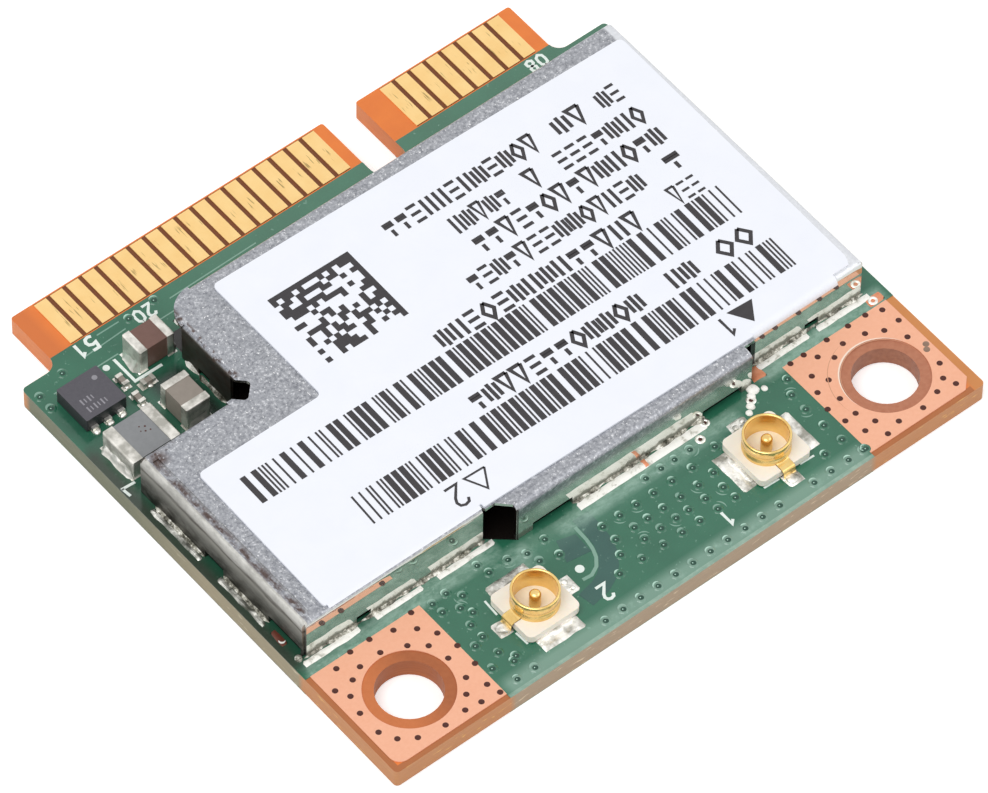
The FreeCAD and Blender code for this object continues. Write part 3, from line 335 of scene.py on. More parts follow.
def gold_surface():
    """Edge contacts: pale gold with thin greenish lines left by the test probes."""
    s = Surface("contact_gold", "#F6CE8A", 0.36, 0.6)
    lines = s.above(s.noise(9.0, 2.0, stretch=(1.0, 0.09, 1.0)), 0.60, 0.05)
    patch = s.above(s.noise(1.3, 1.0, stretch=(1.0, 0.8, 1.0)), 0.48, 0.08)
    worn = s.times(s.times(lines, patch), s.span(s.y, 11.4, 12.9, 0.35))
    s.paint(s.tint(s.mix(s.noise(1.0), "#F4C67C", "#FFDE9E"), worn, "#8E7A48", 0.75))
    s.bump(s.noise(9.0, stretch=(1.0, 0.2, 1.0)), 0.004)
    return s


def pad_surface():
    """Bare copper round the fixing holes: satin salmon."""
    s = Surface("pad_copper", "#F0AE8C", 0.45, 0.25)
    grain = s.noise(6.0, 4.0)
    s.paint(s.tint(s.mix(grain, "#EBA582", "#F6B999"), s.noise(0.5, 2.0), "#F7BFA2", 0.5))
    s.bump(grain, 0.006)
    return s


def can_top(s, speck):
    """Speckled grey sheet, almost white along its right edge."""
    top = s.ramp(speck, (0.32, "#7B7D83"), (0.47, "#A3A5AA"), (0.58, "#B3B5BA"), (0.68, "#E2E3E6"))
    top = s.tint(top, s.noise(1.1), "#9698A0", 0.5)
    fleck = s.above(s.noise(13.0, 2.0, stretch=(1.0, 0.6, 1.0)), 0.665, 0.03)
    top = s.tint(top, fleck, "#FFFFFF", 0.8)
    right = CAN_HIGH.x
    bright = s.either(s.above(s.x, right - 0.50, 0.10), s.zone(right - 1.5, right + 0.1, -7.1, -5.85, 0.15))
    return s.tint(top, bright, "#ECEEF2", 0.75)


def can_left_wall(s, streak):
    """Painted light and shade on the wall: darkest at its foot, lighter upwards, then a dark line and a
    painted highlight along its bend, with mottled patches.
    """
    height = s.math("DIVIDE", s.math("SUBTRACT", s.z, COPPER_TOP), CAN_HIGH.z - COPPER_TOP)
    height = s.math("ADD", height, s.level(streak, -0.13, 0.13))
    shade = s.ramp(height, (0.05, "#2A2924"), (0.30, "#46453F"), (0.52, "#6A6963"), (0.72, "#97968F"),
                   (0.79, "#4E4943"), (0.85, "#ABAAA5"), (0.99, "#C8C7C2"))
    mottle = s.above(s.noise(3.4, 5.0, 0.7, (1.0, 0.45, 1.0)), 0.42, 0.20)
    return s.tint(shade, mottle, "#8C8B86", 0.5)


def can_stains(s, streaky):
    """1 where flux has stained the top: along the left edge, beside the bay and in the corner between."""
    left = CAN_LOW.x
    edge = s.times(s.span(s.x, left + 0.14, left + 0.68, 0.22), s.span(s.y, -6.8, 3.3, 0.3))
    stain = s.times(edge, s.above(streaky, 0.40, 0.14))
    beside_bay = s.times(s.span(s.x, BAY_X - 0.05, BAY_X + 0.35, 0.1), s.span(s.y, BAY_Y, 8.9, 0.1))
    before_bay = s.times(s.span(s.y, BAY_Y - 0.40, BAY_Y + 0.05, 0.1), s.span(s.x, left, -12.6, 0.6))
    bay_stain = s.times(s.either(beside_bay, before_bay), s.above(s.noise(2.6, 4.0), 0.50, 0.08))
    corner = s.zone(left + 0.2, left + 1.1, BAY_Y - 1.0, BAY_Y - 0.05, 0.35)
    return s.either(stain, bay_stain, s.times(corner, s.above(s.noise(1.6, 5.0, 0.65), 0.40, 0.1)))


def can_surface():
    """Tin-plated sheet: speckled on top, mirror-like on the walls, with flux and grime at the edges. The
    bay's walls carry painted shade, the left wall painted light and shade, and the space under the can
    near-black painted shade.
    """
    s = Surface("can_sheet", "#A0A3A8", 0.35, 0.9)
    left = CAN_LOW.x
    speck = s.noise(8.0, 3.0, 0.65)
    streak = s.noise(2.0, 4.0, stretch=(1.0, 0.3, 1.0))
    streaky = s.noise(2.4, 6.0, 0.7, (1.0, 0.6, 1.0))
    left_side = s.times(s.span(s.x, left - 0.1, left + 0.24, 0.02), s.span(s.y, -6.9, 3.5, 0.05))
    shaded_bay_walls = s.either(s.times(s.span(s.x, BAY_X - 0.05, BAY_X + 0.18, 0.02), s.span(s.y, BAY_Y, 8.95)),
                        s.times(s.span(s.y, BAY_Y - 0.18, BAY_Y + 0.05, 0.02), s.span(s.x, left, BAY_X)))
    step_side = s.zone(STEP_LEFT_X, STEP_RIGHT_X, STEP_WALL_Y - 0.1, STEP_WALL_Y + 0.25)
    brushed = s.times(step_side, s.above(s.z, 2.1, 0.5))
    top = can_top(s, speck)
    wall = s.mix(s.noise(1.5), "#CFD3CB", "#E6E8E3")
    # The left wall gets its painted light and shade
    wall = s.mix(left_side, wall, can_left_wall(s, streak))
    # Painted shade on the walls that face into the bay
    wall = s.mix(shaded_bay_walls, wall, s.mix(streak, "#1E1B17", "#6E6A62"))
    wall = s.mix(brushed, wall, top)
    up = s.times(s.facing_up(0.45, 0.75), s.math("SUBTRACT", 1.0, left_side))
    color = s.tint(s.mix(up, wall, top), can_stains(s, streaky), "#4E382E", 0.85)
    tide = s.level(s.noise(2.8, 5.0, 0.7, (1.0, 1.0, 0.5)), 0.95, 1.75)
    front_wall = s.times(s.under(s.y, FRONT_WALL_Y + 0.05), s.math("SUBTRACT", 1.0, up))
    grime = s.times(front_wall, s.above(s.math("SUBTRACT", tide, s.z), 0.0, 0.12))
    color = s.tint(color, grime, s.mix(streaky, "#26261A", "#8F8D7C"), 0.7)
    # Painted shade, near black and not metallic, in the space under the can
    painted_shade_under_can = inside_can(s)
    s.paint(s.mix(painted_shade_under_can, color, "#100D0C"))
    s.set("Metallic", s.level(painted_shade_under_can, 0.9, 0.0))
    grainy = s.either(up, brushed)
    dull = s.times(s.either(left_side, shaded_bay_walls, grime), 0.42)
    s.set("Roughness", s.math("ADD", s.level(grainy, 0.03, 0.42), dull))
    first = s.bump(s.times(speck, grainy), 0.02, 0.8)
    s.bump(s.noise(0.4, 1.0), 0.03, 0.3, first)
    return s


def tin_surface(name, dark, light, roughness, depth):
    """Solder: bright, lumpy, with duller patches."""
    s = Surface(name, light, roughness, 0.85)
    s.paint(s.mix(s.above(s.noise(1.7), 0.38, 0.22), dark, light))
    s.set("Roughness", s.level(s.noise(2.4), roughness, roughness + 0.25))
    s.bump(s.noise(3.2, 4.0), depth, 0.7)
    return s


def strip_surface():
    """Tinned strip: flat, satin and almost white, with a few duller spots."""
    s = Surface("strip_tin", "#FAF8F2", 0.45)
    s.paint(s.ramp(s.noise(2.4, 4.0, 0.65), (0.34, "#BFBDB2"), (0.45, "#F8F6EF"), (0.6, "#FFFDF8")))
    s.bump(s.noise(4.0), 0.012)
    return s


def seam_surface():
    """Solder and flux at the foot of the walls: olive-grey with bright grains."""
    s = Surface("flux_tin", "#8A8878", 0.4, 0.4)
    grain = s.noise(3.6, 5.0, 0.7)
    s.paint(s.ramp(grain, (0.36, "#2E2E20"), (0.47, "#77756A"), (0.55, "#B5B3A6"), (0.64, "#FAF8F0")))
    s.bump(grain, 0.06, 0.8)
    return s


def chip_surface():
    s = Surface("chip_moulding", "#4A484E", 0.45)
    s.paint(s.mix(s.facing_up(), "#242428", s.mix(s.noise(9.0, 4.0), "#45434A", "#58565D")))
    s.bump(s.noise(14.0), 0.008)
    return s


def grained_surface(name, dark, light, roughness, grains, bump_grains, depth, metallic=0.0, strength=0.5):
    """Surface that wanders between two tones; each grain is the arguments of its noise."""
    s = Surface(name, light, roughness, metallic)
    s.paint(s.mix(s.noise(*grains), dark, light))
    s.bump(s.noise(*bump_grains), depth, strength)
    return s


def ring_surface():
    """Gold plating on the receptacles."""
    grain = (7.0, 3.0, 0.55, (1.0, 1.0, 3.0))
    s = grained_surface("ring_gold", "#DDB263", "#F8DC98", 0.2, (2.0,), grain, 0.005, 0.9)
    s.set("Roughness", s.level(s.noise(3.0), 0.14, 0.30))
    return s


def ceramic_surface(name, dark, light):
    return grained_surface(name, dark, light, 0.4, (4.0, 4.0), (12.0,), 0.006)


def cream_surface():
    s = grained_surface("cream_moulding", "#F3EADB", "#FBF5EA", 0.42, (1.5,), (9.0,), 0.004)
    s.set("Subsurface Weight", 0.1)
    s.set("Subsurface Radius", (0.0003, 0.0002, 0.0001))
    return s


laminate = laminate_surface()
green_mask = mask_surface("mask", "#1F5B44", "#327459")
dark_mask = mask_surface("mask_over_trace", "#245049", "#305F55")
pale_mask = mask_surface("mask_pale", "#6F9C89", "#86A898")
contact_gold = gold_surface()
pad_copper = pad_surface()
via_dark = grained_surface("via_dark", "#34100A", "#521C08", 0.6, (6.0,), (12.0,), 0.004)
can_sheet = can_surface()
label_film = grained_surface("label_film", "#EEF1FA", "#F5F7FD", 0.42, (0.8,), (1.3, 2.0), 0.01, strength=0.4)
ink = grained_surface("label_ink", "#2A272A", "#383538", 0.55, (5.0,), (9.0,), 0.003)
silkscreen = grained_surface("silkscreen_white", "#DCE9E2", "#F4FAF6", 0.5, (6.0,), (10.0,), 0.005)
tin = tin_surface("tin", "#DAD8D0", "#FCFAF4", 0.22, 0.03)
terminal_tin = tin_surface("terminal_tin", "#B0AEA6", "#E9E6DF", 0.33, 0.03)
rough_tin = tin_surface("rough_tin", "#A5A399", "#FBF9F3", 0.3, 0.10)
grey_tin = tin_surface("grey_tin", "#6E6F66", "#E4E3DC", 0.34, 0.08)
strip_tin = strip_surface()
flux_tin = seam_surface()
plug_brown = ceramic_surface("plug_brown", "#6E5140", "#A08672")
flux_brown = ceramic_surface("flux_brown", "#55281E", "#7E4636")
# Colour of the painted highlight on the right-hand ring's rim
painted_rim_highlight = ceramic_surface("painted_rim_highlight", "#F6D8C2", "#FFEBDA")
scratch = ceramic_surface("scratch", "#C98A6A", "#DDA384")
via_shade = ceramic_surface("via_shade", "#173E31", "#1F4C3D")
via_light = ceramic_surface("via_light", "#A9D2C0", "#C0E2D2")
cream = cream_surface()
ring_gold = ring_surface()
chip_black = chip_surface()
chip_mark = ceramic_surface("chip_mark", "#85838A", "#97959C")
brown_ceramic = ceramic_surface("brown_ceramic", "#66493F", "#785850")
grey_ceramic = ceramic_surface("grey_ceramic", "#857C73", "#968D83")
ferrite = ceramic_surface("ferrite", "#7B7D7F", "#8D8F91")
lid_grain = (10.0, 3.0, 0.55, (0.2, 3.0, 1.0))
lid_metal = grained_surface("lid_metal", "#B0AB9F", "#C9C4B8", 0.3, (3.0,), lid_grain, 0.004, 0.9)
bare_copper = grained_surface("bare_copper", "#C9683A", "#F2B08C", 0.4, (3.5,), (8.0,), 0.01, 0.3)

# The first pattern that a node's name fits gives its surface
NODE_SURFACES = (
    ("board_laminate", laminate), ("solder_mask*", green_mask), ("contacts_*", contact_gold),
    ("mounting_pad*", pad_copper), ("shield_can", can_sheet), ("label", label_film),
    ("crystal_lid", lid_metal), ("*_shell", ring_gold), ("*_pin", ring_gold), ("coax_?_base", cream),
    ("regulator_body", chip_black), ("*_chip", chip_black), ("front_end_?", chip_black),
    ("crystal_base", chip_black), ("capacitor_a_body", brown_ceramic), ("coil_body", ferrite),
    ("*_body", grey_ceramic), ("*_caps", terminal_tin), ("*", tin),
)

for node_name, node in nodes.items():
    node.data.materials.clear()
    surface = next(surface for pattern, surface in NODE_SURFACES if fnmatch(node_name, pattern))
    node.data.materials.append(surface.material)


# Shapes that the pieces are built from

SMOOTH_DEG = 40.0
# Distance between the vertices of puddles and fillets, and waves of their surface to the millimetre
PUDDLE_STEP = 0.09
PUDDLE_WAVES = 1.7
FILLET_STEP = 0.07
FILLET_WAVES = 1.6
FILLET_ROWS = 6
# A fillet grows from this share of its size to the whole over this length
FILLET_END = 0.15
FILLET_TAPER = 0.25
BLOB_RINGS = 5
BLOB_SIDES = 12
# Pitch of the digits for a height of one
DIGIT_PITCH = 0.86


def add_object(name, data):
    made = bpy.data.objects.new(name, data)
    bpy.context.scene.collection.objects.link(made)
    return made


def piece(name, mesh, surface, replaced=()):
    """Makes an object of a mesh that was built in millimetres."""
    bmesh.ops.recalc_face_normals(mesh, faces=mesh.faces)
    mesh.transform(Matrix.Scale(MM, 4))
    data = bpy.data.meshes.new(name)
    mesh.to_mesh(data)
    mesh.free()
    data.shade_smooth()
    data.set_sharp_from_angle(angle=math.radians(SMOOTH_DEG))
    data.materials.append(surface.material)
    made = add_object(name, data)
    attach(made, "root")
    if replaced:
        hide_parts(*replaced)


def turned(degrees, axis):
    return Matrix.Rotation(math.radians(degrees), 4, axis)


def skin(mesh, rows):
    """Faces between neighbouring rows of vertices."""
    for near, far in zip(rows, rows[1:]):
        for k in range(1, len(near)):
            mesh.faces.new((near[k - 1], near[k], far[k], far[k - 1]))


def rectangle(x0, x1, y0, y1):
    return [(x0, y0), (x1, y0), (x1, y1), (x0, y1)]


def circle(x, y, radius, sides):
    turns = [2 * math.pi * i / sides for i in range(sides)]
    return [(x + radius * math.cos(t), y + radius * math.sin(t)) for t in turns]


def upright(mesh, outline, low, high):
    """Walls along a closed outline of (x, y) points; gives back the vertices of their top."""
    top = [mesh.verts.new((x, y, high)) for x, y in outline]
    foot = [mesh.verts.new((x, y, low)) for x, y in outline]
    for i in range(len(outline)):
        mesh.faces.new((foot[i - 1], foot[i], top[i], top[i - 1]))
    return top


def slab(mesh, outline, low, high):
    """Flat plate over an outline of (x, y) points, open at the underside."""
    mesh.faces.new(upright(mesh, outline, low, high))


def stroke(mesh, points, width, low, high):
    """Line of this width along (x, y) points, with mitred corners."""
    path = [Vector(point) for point in points]
    rows = []
    for i, here in enumerate(path):
        into = (here - path[i - 1]).normalized() if i > 0 else (path[1] - here).normalized()
        out = (path[i + 1] - here).normalized() if i < len(path) - 1 else into
        across = Vector((-(into + out).y, (into + out).x)).normalized()
        reach = width / 2 / max(across.dot(Vector((-into.y, into.x))), 0.5)
        rows.append([here + across * reach, here - across * reach])
    for (a, b), (c, d) in zip(rows, rows[1:]):
        slab(mesh, [a, b, d, c], low, high)


def lathe(mesh, x, y, profile, sides=24, level=0.0):
    """Body of revolution about an upright axis; the profile is pairs of radius and height over the level."""
    rings = []
    for radius, height in profile:
        outline = circle(x, y, radius, sides if radius > 0 else 1)
        rings.append([mesh.verts.new((*point, level + height)) for point in outline])
    for near, far in zip(rings, rings[1:]):
        for i in range(sides):
            j = (i + 1) % sides
            corners = [near[i % len(near)], near[j % len(near)], far[j % len(far)], far[i % len(far)]]
            mesh.faces.new(list(dict.fromkeys(corners)))
    return [vert for ring in rings for vert in ring]


def dot(mesh, x, y, radius, low, high, sides):
    """Low round button."""
    lathe(mesh, x, y, ((radius, low), (radius, high), (0.0, high)), sides)


def puddle(mesh, x0, x1, y0, y1, crest, seed, ragged):
    """Thin layer of solder on the mask, with a rounded, ragged edge, over a rectangle."""
    columns = max(4, round((x1 - x0) / PUDDLE_STEP))
    rows = max(4, round((y1 - y0) / PUDDLE_STEP))
    grid = []
    for i in range(columns + 1):
        line = []
        for j in range(rows + 1):
            u = 2 * i / columns - 1
            v = 2 * j / rows - 1
            place = Vector((i * PUDDLE_STEP * PUDDLE_WAVES, j * PUDDLE_STEP * PUDDLE_WAVES, seed * 7.3))
            x = (x0 + x1) / 2 + u * ((x1 - x0) / 2 + ragged * noise.noise(place))
            y = (y0 + y1) / 2 + v * ((y1 - y0) / 2 + ragged * noise.noise(place + Vector((9, 4, 2))))
            dome = ((1 - abs(u) ** 8) * (1 - abs(v) ** 4)) ** 0.5
            z = MASK_TOP + crest * dome * (1 + 0.5 * noise.noise(place * 2.3))
            line.append(mesh.verts.new((x, y, z)))
        grid.append(line)
    skin(mesh, grid)


def fillet(mesh, start, end, outward, reach, crest, seed, lumps=0.5):
    """Solder drawn up against a wall, from (x, y) start to end, that runs out along the outward side."""
    start = Vector(start)
    end = Vector(end)
    outward = Vector(outward).normalized()
    length = (end - start).length
    count = max(3, round(length / FILLET_STEP))
    rows = []
    for i in range(count + 1):
        t = i / count
        fade = min(1.0, FILLET_END + min(t, 1 - t) * length / FILLET_TAPER)
        size = fade * (1 + lumps * noise.noise(Vector((t * length * FILLET_WAVES, seed * 5.1, 0))))
        row = []
        for k in range(FILLET_ROWS + 1):
            s = k / FILLET_ROWS
            wave = 1 + 0.35 * noise.noise(Vector((t * length * 3.1, s * 3.0, seed * 3.7)))
            spot = start.lerp(end, t) + outward * reach * size * s
            row.append(mesh.verts.new((*spot, COPPER_TOP + crest * size * (1 - s) ** 1.4 * wave)))
        rows.append(row)
    skin(mesh, rows)


def blob(mesh, x, y, low, radius, height, seed):
    """Small lump of solder."""
    turns = [math.pi / 2 * i / BLOB_RINGS for i in range(BLOB_RINGS)]
    profile = [(radius * math.cos(turn), height * math.sin(turn)) for turn in turns] + [(0.0, height)]
    for vert in lathe(mesh, x, y, profile, BLOB_SIDES, low):
        push = 0.35 * noise.noise(vert.co * 4.0 + Vector((seed * 3.1, 0, 0)))
        vert.co.x += (vert.co.x - x) * push
        vert.co.y += (vert.co.y - y) * push


def crescent(mesh, x, y, radius, width, middle_deg, half_deg, z, steps=10):
    """Flat sickle shape: a ring sector that is widest in its middle."""
    rows = []
    for i in range(steps + 1):
        angle = math.radians(middle_deg + half_deg * (2 * i / steps - 1))
        thick = width * math.sin(math.pi * (i + 0.3) / (steps + 0.6)) / 2
        rows.append([mesh.verts.new((x + reach * math.cos(angle), y + reach * math.sin(angle), z))
                     for reach in (radius - thick, radius + thick)])
    skin(mesh, rows)


def loose_boxes(name):
    """Lowest and highest X and Y of each separate solid of a node, in millimetres."""
    mesh = bmesh.new()
    mesh.from_mesh(nodes[name].data)
    bmesh.ops.remove_doubles(mesh, verts=mesh.verts, dist=1e-7)
    boxes = []
    waiting = set(mesh.verts)
    while waiting:
        group = set()
        edge = [waiting.pop()]
        while edge:
            vert = edge.pop()
            group.add(vert)
            for link in vert.link_edges:
                other = link.other_vert(vert)
                if other in waiting:
                    waiting.discard(other)
                    edge.append(other)
        xs = [vert.co.x / MM for vert in group]
        ys = [vert.co.y / MM for vert in group]
        boxes.append((min(xs), max(xs), min(ys), max(ys)))
    mesh.free()
    return boxes


# Plain numbers, each one line of a pen in a box one unit high
PEN_LINES = {
    "0": ((0.36, 1.0), (0.12, 0.82), (0.08, 0.5), (0.12, 0.18), (0.36, 0.0), (0.60, 0.18), (0.64, 0.5),
          (0.60, 0.82), (0.36, 1.0)),
    "1": ((0.22, 0.78), (0.44, 1.0), (0.44, 0.0)),
    "2": ((0.10, 0.78), (0.20, 0.95), (0.40, 1.0), (0.58, 0.92), (0.63, 0.74), (0.54, 0.54), (0.08, 0.0),
          (0.66, 0.0)),
    "5": ((0.62, 1.0), (0.18, 1.0), (0.12, 0.56), (0.36, 0.62), (0.58, 0.52), (0.64, 0.30), (0.54, 0.08),
          (0.32, 0.0), (0.10, 0.08)),
    "8": ((0.36, 1.0), (0.16, 0.90), (0.14, 0.68), (0.36, 0.53), (0.60, 0.36), (0.60, 0.12), (0.36, 0.0),
          (0.12, 0.12), (0.12, 0.36), (0.36, 0.53), (0.58, 0.68), (0.56, 0.90), (0.36, 1.0)),
}


def number(mesh, text, place, height, pen, low, high):
    """Plain digits with their tops towards -Y, that start at the foot of the first one."""
    for i, digit in enumerate(text):
        foot = Vector(place) - Vector((height * DIGIT_PITCH * i, 0.0))
        stroke(mesh, [foot - height * Vector(point) for point in PEN_LINES[digit]], pen, low, high)


# Pads round the fixing holes

PAD_LEFT_X = (-14.71, -9.31)
PAD_RIGHT_X = (9.17, 14.57)
PAD_Y = (-13.12, -7.74)
PAD_ARC = 0.50
PAD_CHAMFER = 0.46
VIA_RADIUS = 0.13
VIA_SIDES = 12
# Profiles over the copper: floor of a hole, hole that the pad's edge cuts, and plugged hole
VIA_FLOOR = ((VIA_RADIUS, -0.004), (0.09, -0.020), (0.0, -0.030))
VIA_CUT = ((VIA_RADIUS, 0.001), (0.09, 0.004), (0.0, 0.003))
VIA_PLUG = ((0.14, 0.0), (0.11, 0.012), (0.07, 0.004), (0.0, 0.003))

VIAS_LEFT = (
    (-10.87, -8.95), (-10.23, -9.47), (-10.01, -10.40), (-10.05, -11.54), (-10.54, -12.16), (-11.04, -12.71),
    (-12.07, -12.78), (-13.27, -12.57), (-13.92, -12.12), (-14.29, -11.43), (-14.29, -10.29), (-14.08, -9.44),
    (-13.53, -8.89), (-12.92, -8.58), (-11.89, -8.55), (-10.07, -8.56), (-9.59, -9.21), (-10.83, -8.04),
    (-13.69, -8.08), (-14.38, -8.87), (-9.62, -12.30), (-10.31, -12.80),
)
VIAS_RIGHT = (
    (14.13, -8.04), (12.82, -8.51), (11.81, -8.34), (10.60, -8.22), (11.10, -8.65), (13.52, -8.87),
    (14.30, -8.84), (14.03, -9.69), (9.80, -8.80), (10.20, -9.36), (14.17, -11.48), (13.79, -12.13),
    (14.01, -12.65), (13.17, -12.49), (9.45, -9.56), (9.95, -10.34), (12.22, -12.74), (9.96, -11.28),
    (9.40, -11.31), (10.32, -12.05), (11.04, -12.64), (9.70, -12.17), (10.30, -12.84),
)
VIAS_ON_EDGE = (
    (-9.77, -7.82), (-9.36, -10.16), (-11.83, -7.80), (-9.36, -11.24), (-12.78, -7.80), (-9.46, -12.90),
    (13.43, -7.82), (12.54, -7.80), (11.43, -7.80), (10.23, -7.80), (9.54, -7.80), (9.23, -10.44),
)
VIAS_PLUGGED = ((14.37, -10.42), (14.22, -10.64))


def pad_outline(side):
    """Outline of one pad: the left one has a rounded outer corner at the front, the right one a cut one."""
    y0, y1 = PAD_Y
    if side < 0:
        x0, x1 = PAD_LEFT_X
        arc = [(x0 + PAD_ARC - PAD_ARC * math.cos(t), y0 + PAD_ARC - PAD_ARC * math.sin(t))
               for t in (math.pi / 2 * i / 6 for i in range(7))]
        return [(x0, y1)] + arc + [(x1, y0), (x1, y1)]
    x0, x1 = PAD_RIGHT_X
    return [(x0, y1), (x0, y0), (x1 - PAD_CHAMFER, y0), (x1, y0 + PAD_CHAMFER), (x1, y1)]


def add_pad(name, side, vias):
    """Copper with its holes: the bare ring round the fixing hole, and the vias."""
    mesh = bmesh.new()
    loops = [pad_outline(side), circle(side * HOLE_X, HOLE_Y, BARE_RING_RADIUS, 64)]
    loops += [circle(x, y, VIA_RADIUS, VIA_SIDES) for x, y in vias]
    tops = []
    for loop in loops:
        tops += upright(mesh, loop, BOARD_TOP, COPPER_TOP)
    for a, b, c in tessellate_polygon([[Vector((x, y, 0)) for x, y in loop] for loop in loops]):
        mesh.faces.new((tops[a], tops[b], tops[c]))
    piece(name + "_copper", mesh, pad_copper, (name,))


def add_via_floors():
    """Floors of the holes in the pads and at their edges, painted dark as the shade in the holes, and two
    plugged holes.
    """
    mesh = bmesh.new()
    for x, y in VIAS_LEFT + VIAS_RIGHT:
        lathe(mesh, x, y, VIA_FLOOR, VIA_SIDES, COPPER_TOP)
    for x, y in VIAS_ON_EDGE:
        lathe(mesh, x, y, VIA_CUT, VIA_SIDES, COPPER_TOP)
    piece("pad_via_floors", mesh, via_dark)
    mesh = bmesh.new()
    for x, y in VIAS_PLUGGED:
        lathe(mesh, x, y, VIA_PLUG, 14, COPPER_TOP)
    piece("pad_via_plugs", mesh, plug_brown)


def add_ring_marks():
    """Painted highlight along one side of the right-hand ring's rim, and the faint arcs that a screw left
    beside it.
    """
    mesh = bmesh.new()
    crescent(mesh, HOLE_X, HOLE_Y, BARE_RING_RADIUS + 0.01, 0.075, 110, 85, COPPER_TOP + 0.002, 24)
    piece("ring_painted_rim_highlight", mesh, painted_rim_highlight)
    mesh = bmesh.new()
    crescent(mesh, HOLE_X, HOLE_Y, 2.30, 0.035, 145, 48, COPPER_TOP + 0.002, 20)
    crescent(mesh, HOLE_X, HOLE_Y, BARE_RING_RADIUS - 0.06, 0.05, 100, 90, COPPER_TOP + 0.001, 20)
    piece("ring_scratch", mesh, scratch)


# Small holes under the green mask

# Each row is its Y and the X of its holes
MASK_VIA_ROWS = (
    (-12.84, [-8.57 + 0.885 * i for i in range(21) if i not in (2, 3, 4, 16)] + [9.00]),
    (-8.55, (1.45, 2.23, 2.92, 3.70)),
    (-9.05, (4.57,)),
    (-9.30, (-1.35, -0.48, 0.36, 1.25, 2.18, 3.22)),
    (-10.10, (-1.35, -0.41, 0.28, 1.08, 1.96, 2.86)),
    (-10.00, (3.71,)),
    (-10.78, (-1.67, -0.45, 0.38, 1.15, 1.79, 2.66, 3.56)),
    (-11.46, (-2.28, -1.13, -0.05, 0.90, 1.79, 2.72, 3.61)),
)
MASK_VIAS = [(x, y) for y, row in MASK_VIA_ROWS for x in row] + [
    (8.95, -8.32), (8.57, -9.02), (8.55, -9.90), (8.60, -10.95), (8.70, -11.93), (7.71, -12.06),
    (-5.25, -8.21), (-4.48, -8.45), (-6.37, -7.68), (-6.21, -8.23), (-4.33, -9.03), (-8.15, -7.96),
    (-7.71, -8.45), (-8.88, -8.02), (-8.15, -8.86), (-8.82, -8.58), (-7.90, -9.32), (-8.34, -9.74),
    (-8.34, -10.45), (-8.84, -10.62), (-8.33, -11.41), (-7.90, -11.95), (-9.00, -11.85), (-8.11, -12.10),
    (-3.52, -9.28), (-3.51, -8.35), (-13.22, 9.86), (-14.62, 9.49), (-14.62, 8.76), (-9.50, 10.36),
    (-8.16, 10.47),
]
# Short pale arcs beside some of them: x, y, direction in degrees
MASK_ARCS = (
    (-0.48, -9.30, 230), (2.72, -11.46, 20), (3.56, -10.78, 215), (0.36, -9.30, 240), (-0.45, -10.78, 60),
    (1.15, -10.78, 225), (3.70, -8.55, 300), (2.86, -10.10, 215), (-5.25, -8.21, 250), (-7.71, -8.45, 200),
    (-8.15, -8.86, 40), (8.57, -9.02, 60), (8.55, -9.90, 240), (-7.90, -11.95, 220), (4.57, -9.05, 330),
)
BARE_VIAS = ((5.02, -7.90), (4.36, -8.42), (7.16, -8.20), (14.14, -7.45))
# Profiles over the mask
CRATER = ((0.24, 0.0), (0.21, 0.016), (0.17, 0.034), (0.14, 0.038), (0.11, 0.024), (0.085, 0.006))
CRATER_FLOOR = ((0.115, 0.038), (0.0, 0.039))
CRATER_LIGHT = ((0.028, 0.040), (0.0, 0.041))
BARE_RIM = ((0.22, 0.0), (0.19, 0.030), (0.14, 0.040), (0.10, 0.020), (0.085, 0.006))
BARE_FLOOR = ((0.085, 0.007), (0.0, 0.006))


def add_mask_vias():
    """Low craters in the lacquer, each with a floor of painted shade, painted sheen and a painted highlight
    on the lit side of its rim, and a small painted highlight in its floor.
    """
    craters = bmesh.new()
    floors = bmesh.new()
    pale = bmesh.new()
    soft = bmesh.new()
    shuffle = random.Random(4)
    for x, y in MASK_VIAS:
        lathe(craters, x, y, CRATER, 20, MASK_TOP)
        turn = 95 + shuffle.uniform(-25, 20)
        half = shuffle.uniform(45, 80)
        # Painted sheen and painted highlight on the rim's lit side
        crescent(soft, x, y, 0.19, shuffle.uniform(0.07, 0.12), turn, half, MASK_TOP + 0.0385)
        if shuffle.random() < 0.7:
            crescent(pale, x, y, 0.20, shuffle.uniform(0.03, 0.07), turn, half * 0.8, MASK_TOP + 0.040)
        # Dark floor, set off towards the shaded side: painted shade; the small light dot in it is a painted
        # highlight
        lathe(floors, x + 0.01, y - 0.03, CRATER_FLOOR, 12, MASK_TOP)
        lathe(pale, x - 0.02, y - 0.01, CRATER_LIGHT, 8, MASK_TOP)
    piece("mask_via_painted_sheen", soft, pale_mask)
    piece("mask_via_rims", craters, green_mask)
    piece("mask_via_floors", floors, via_shade)
    piece("mask_via_painted_highlights", pale, via_light)
    rings = bmesh.new()
    holes = bmesh.new()
    for x, y in BARE_VIAS:
        lathe(rings, x, y, BARE_RIM, 16, MASK_TOP)
        # Dark floor of each bare via: painted shade in the hole
        lathe(holes, x, y, BARE_FLOOR, 10, MASK_TOP)
    piece("bare_via_rims", rings, tin)
    piece("bare_via_floors", holes, via_dark)


# Copper that shows through the mask

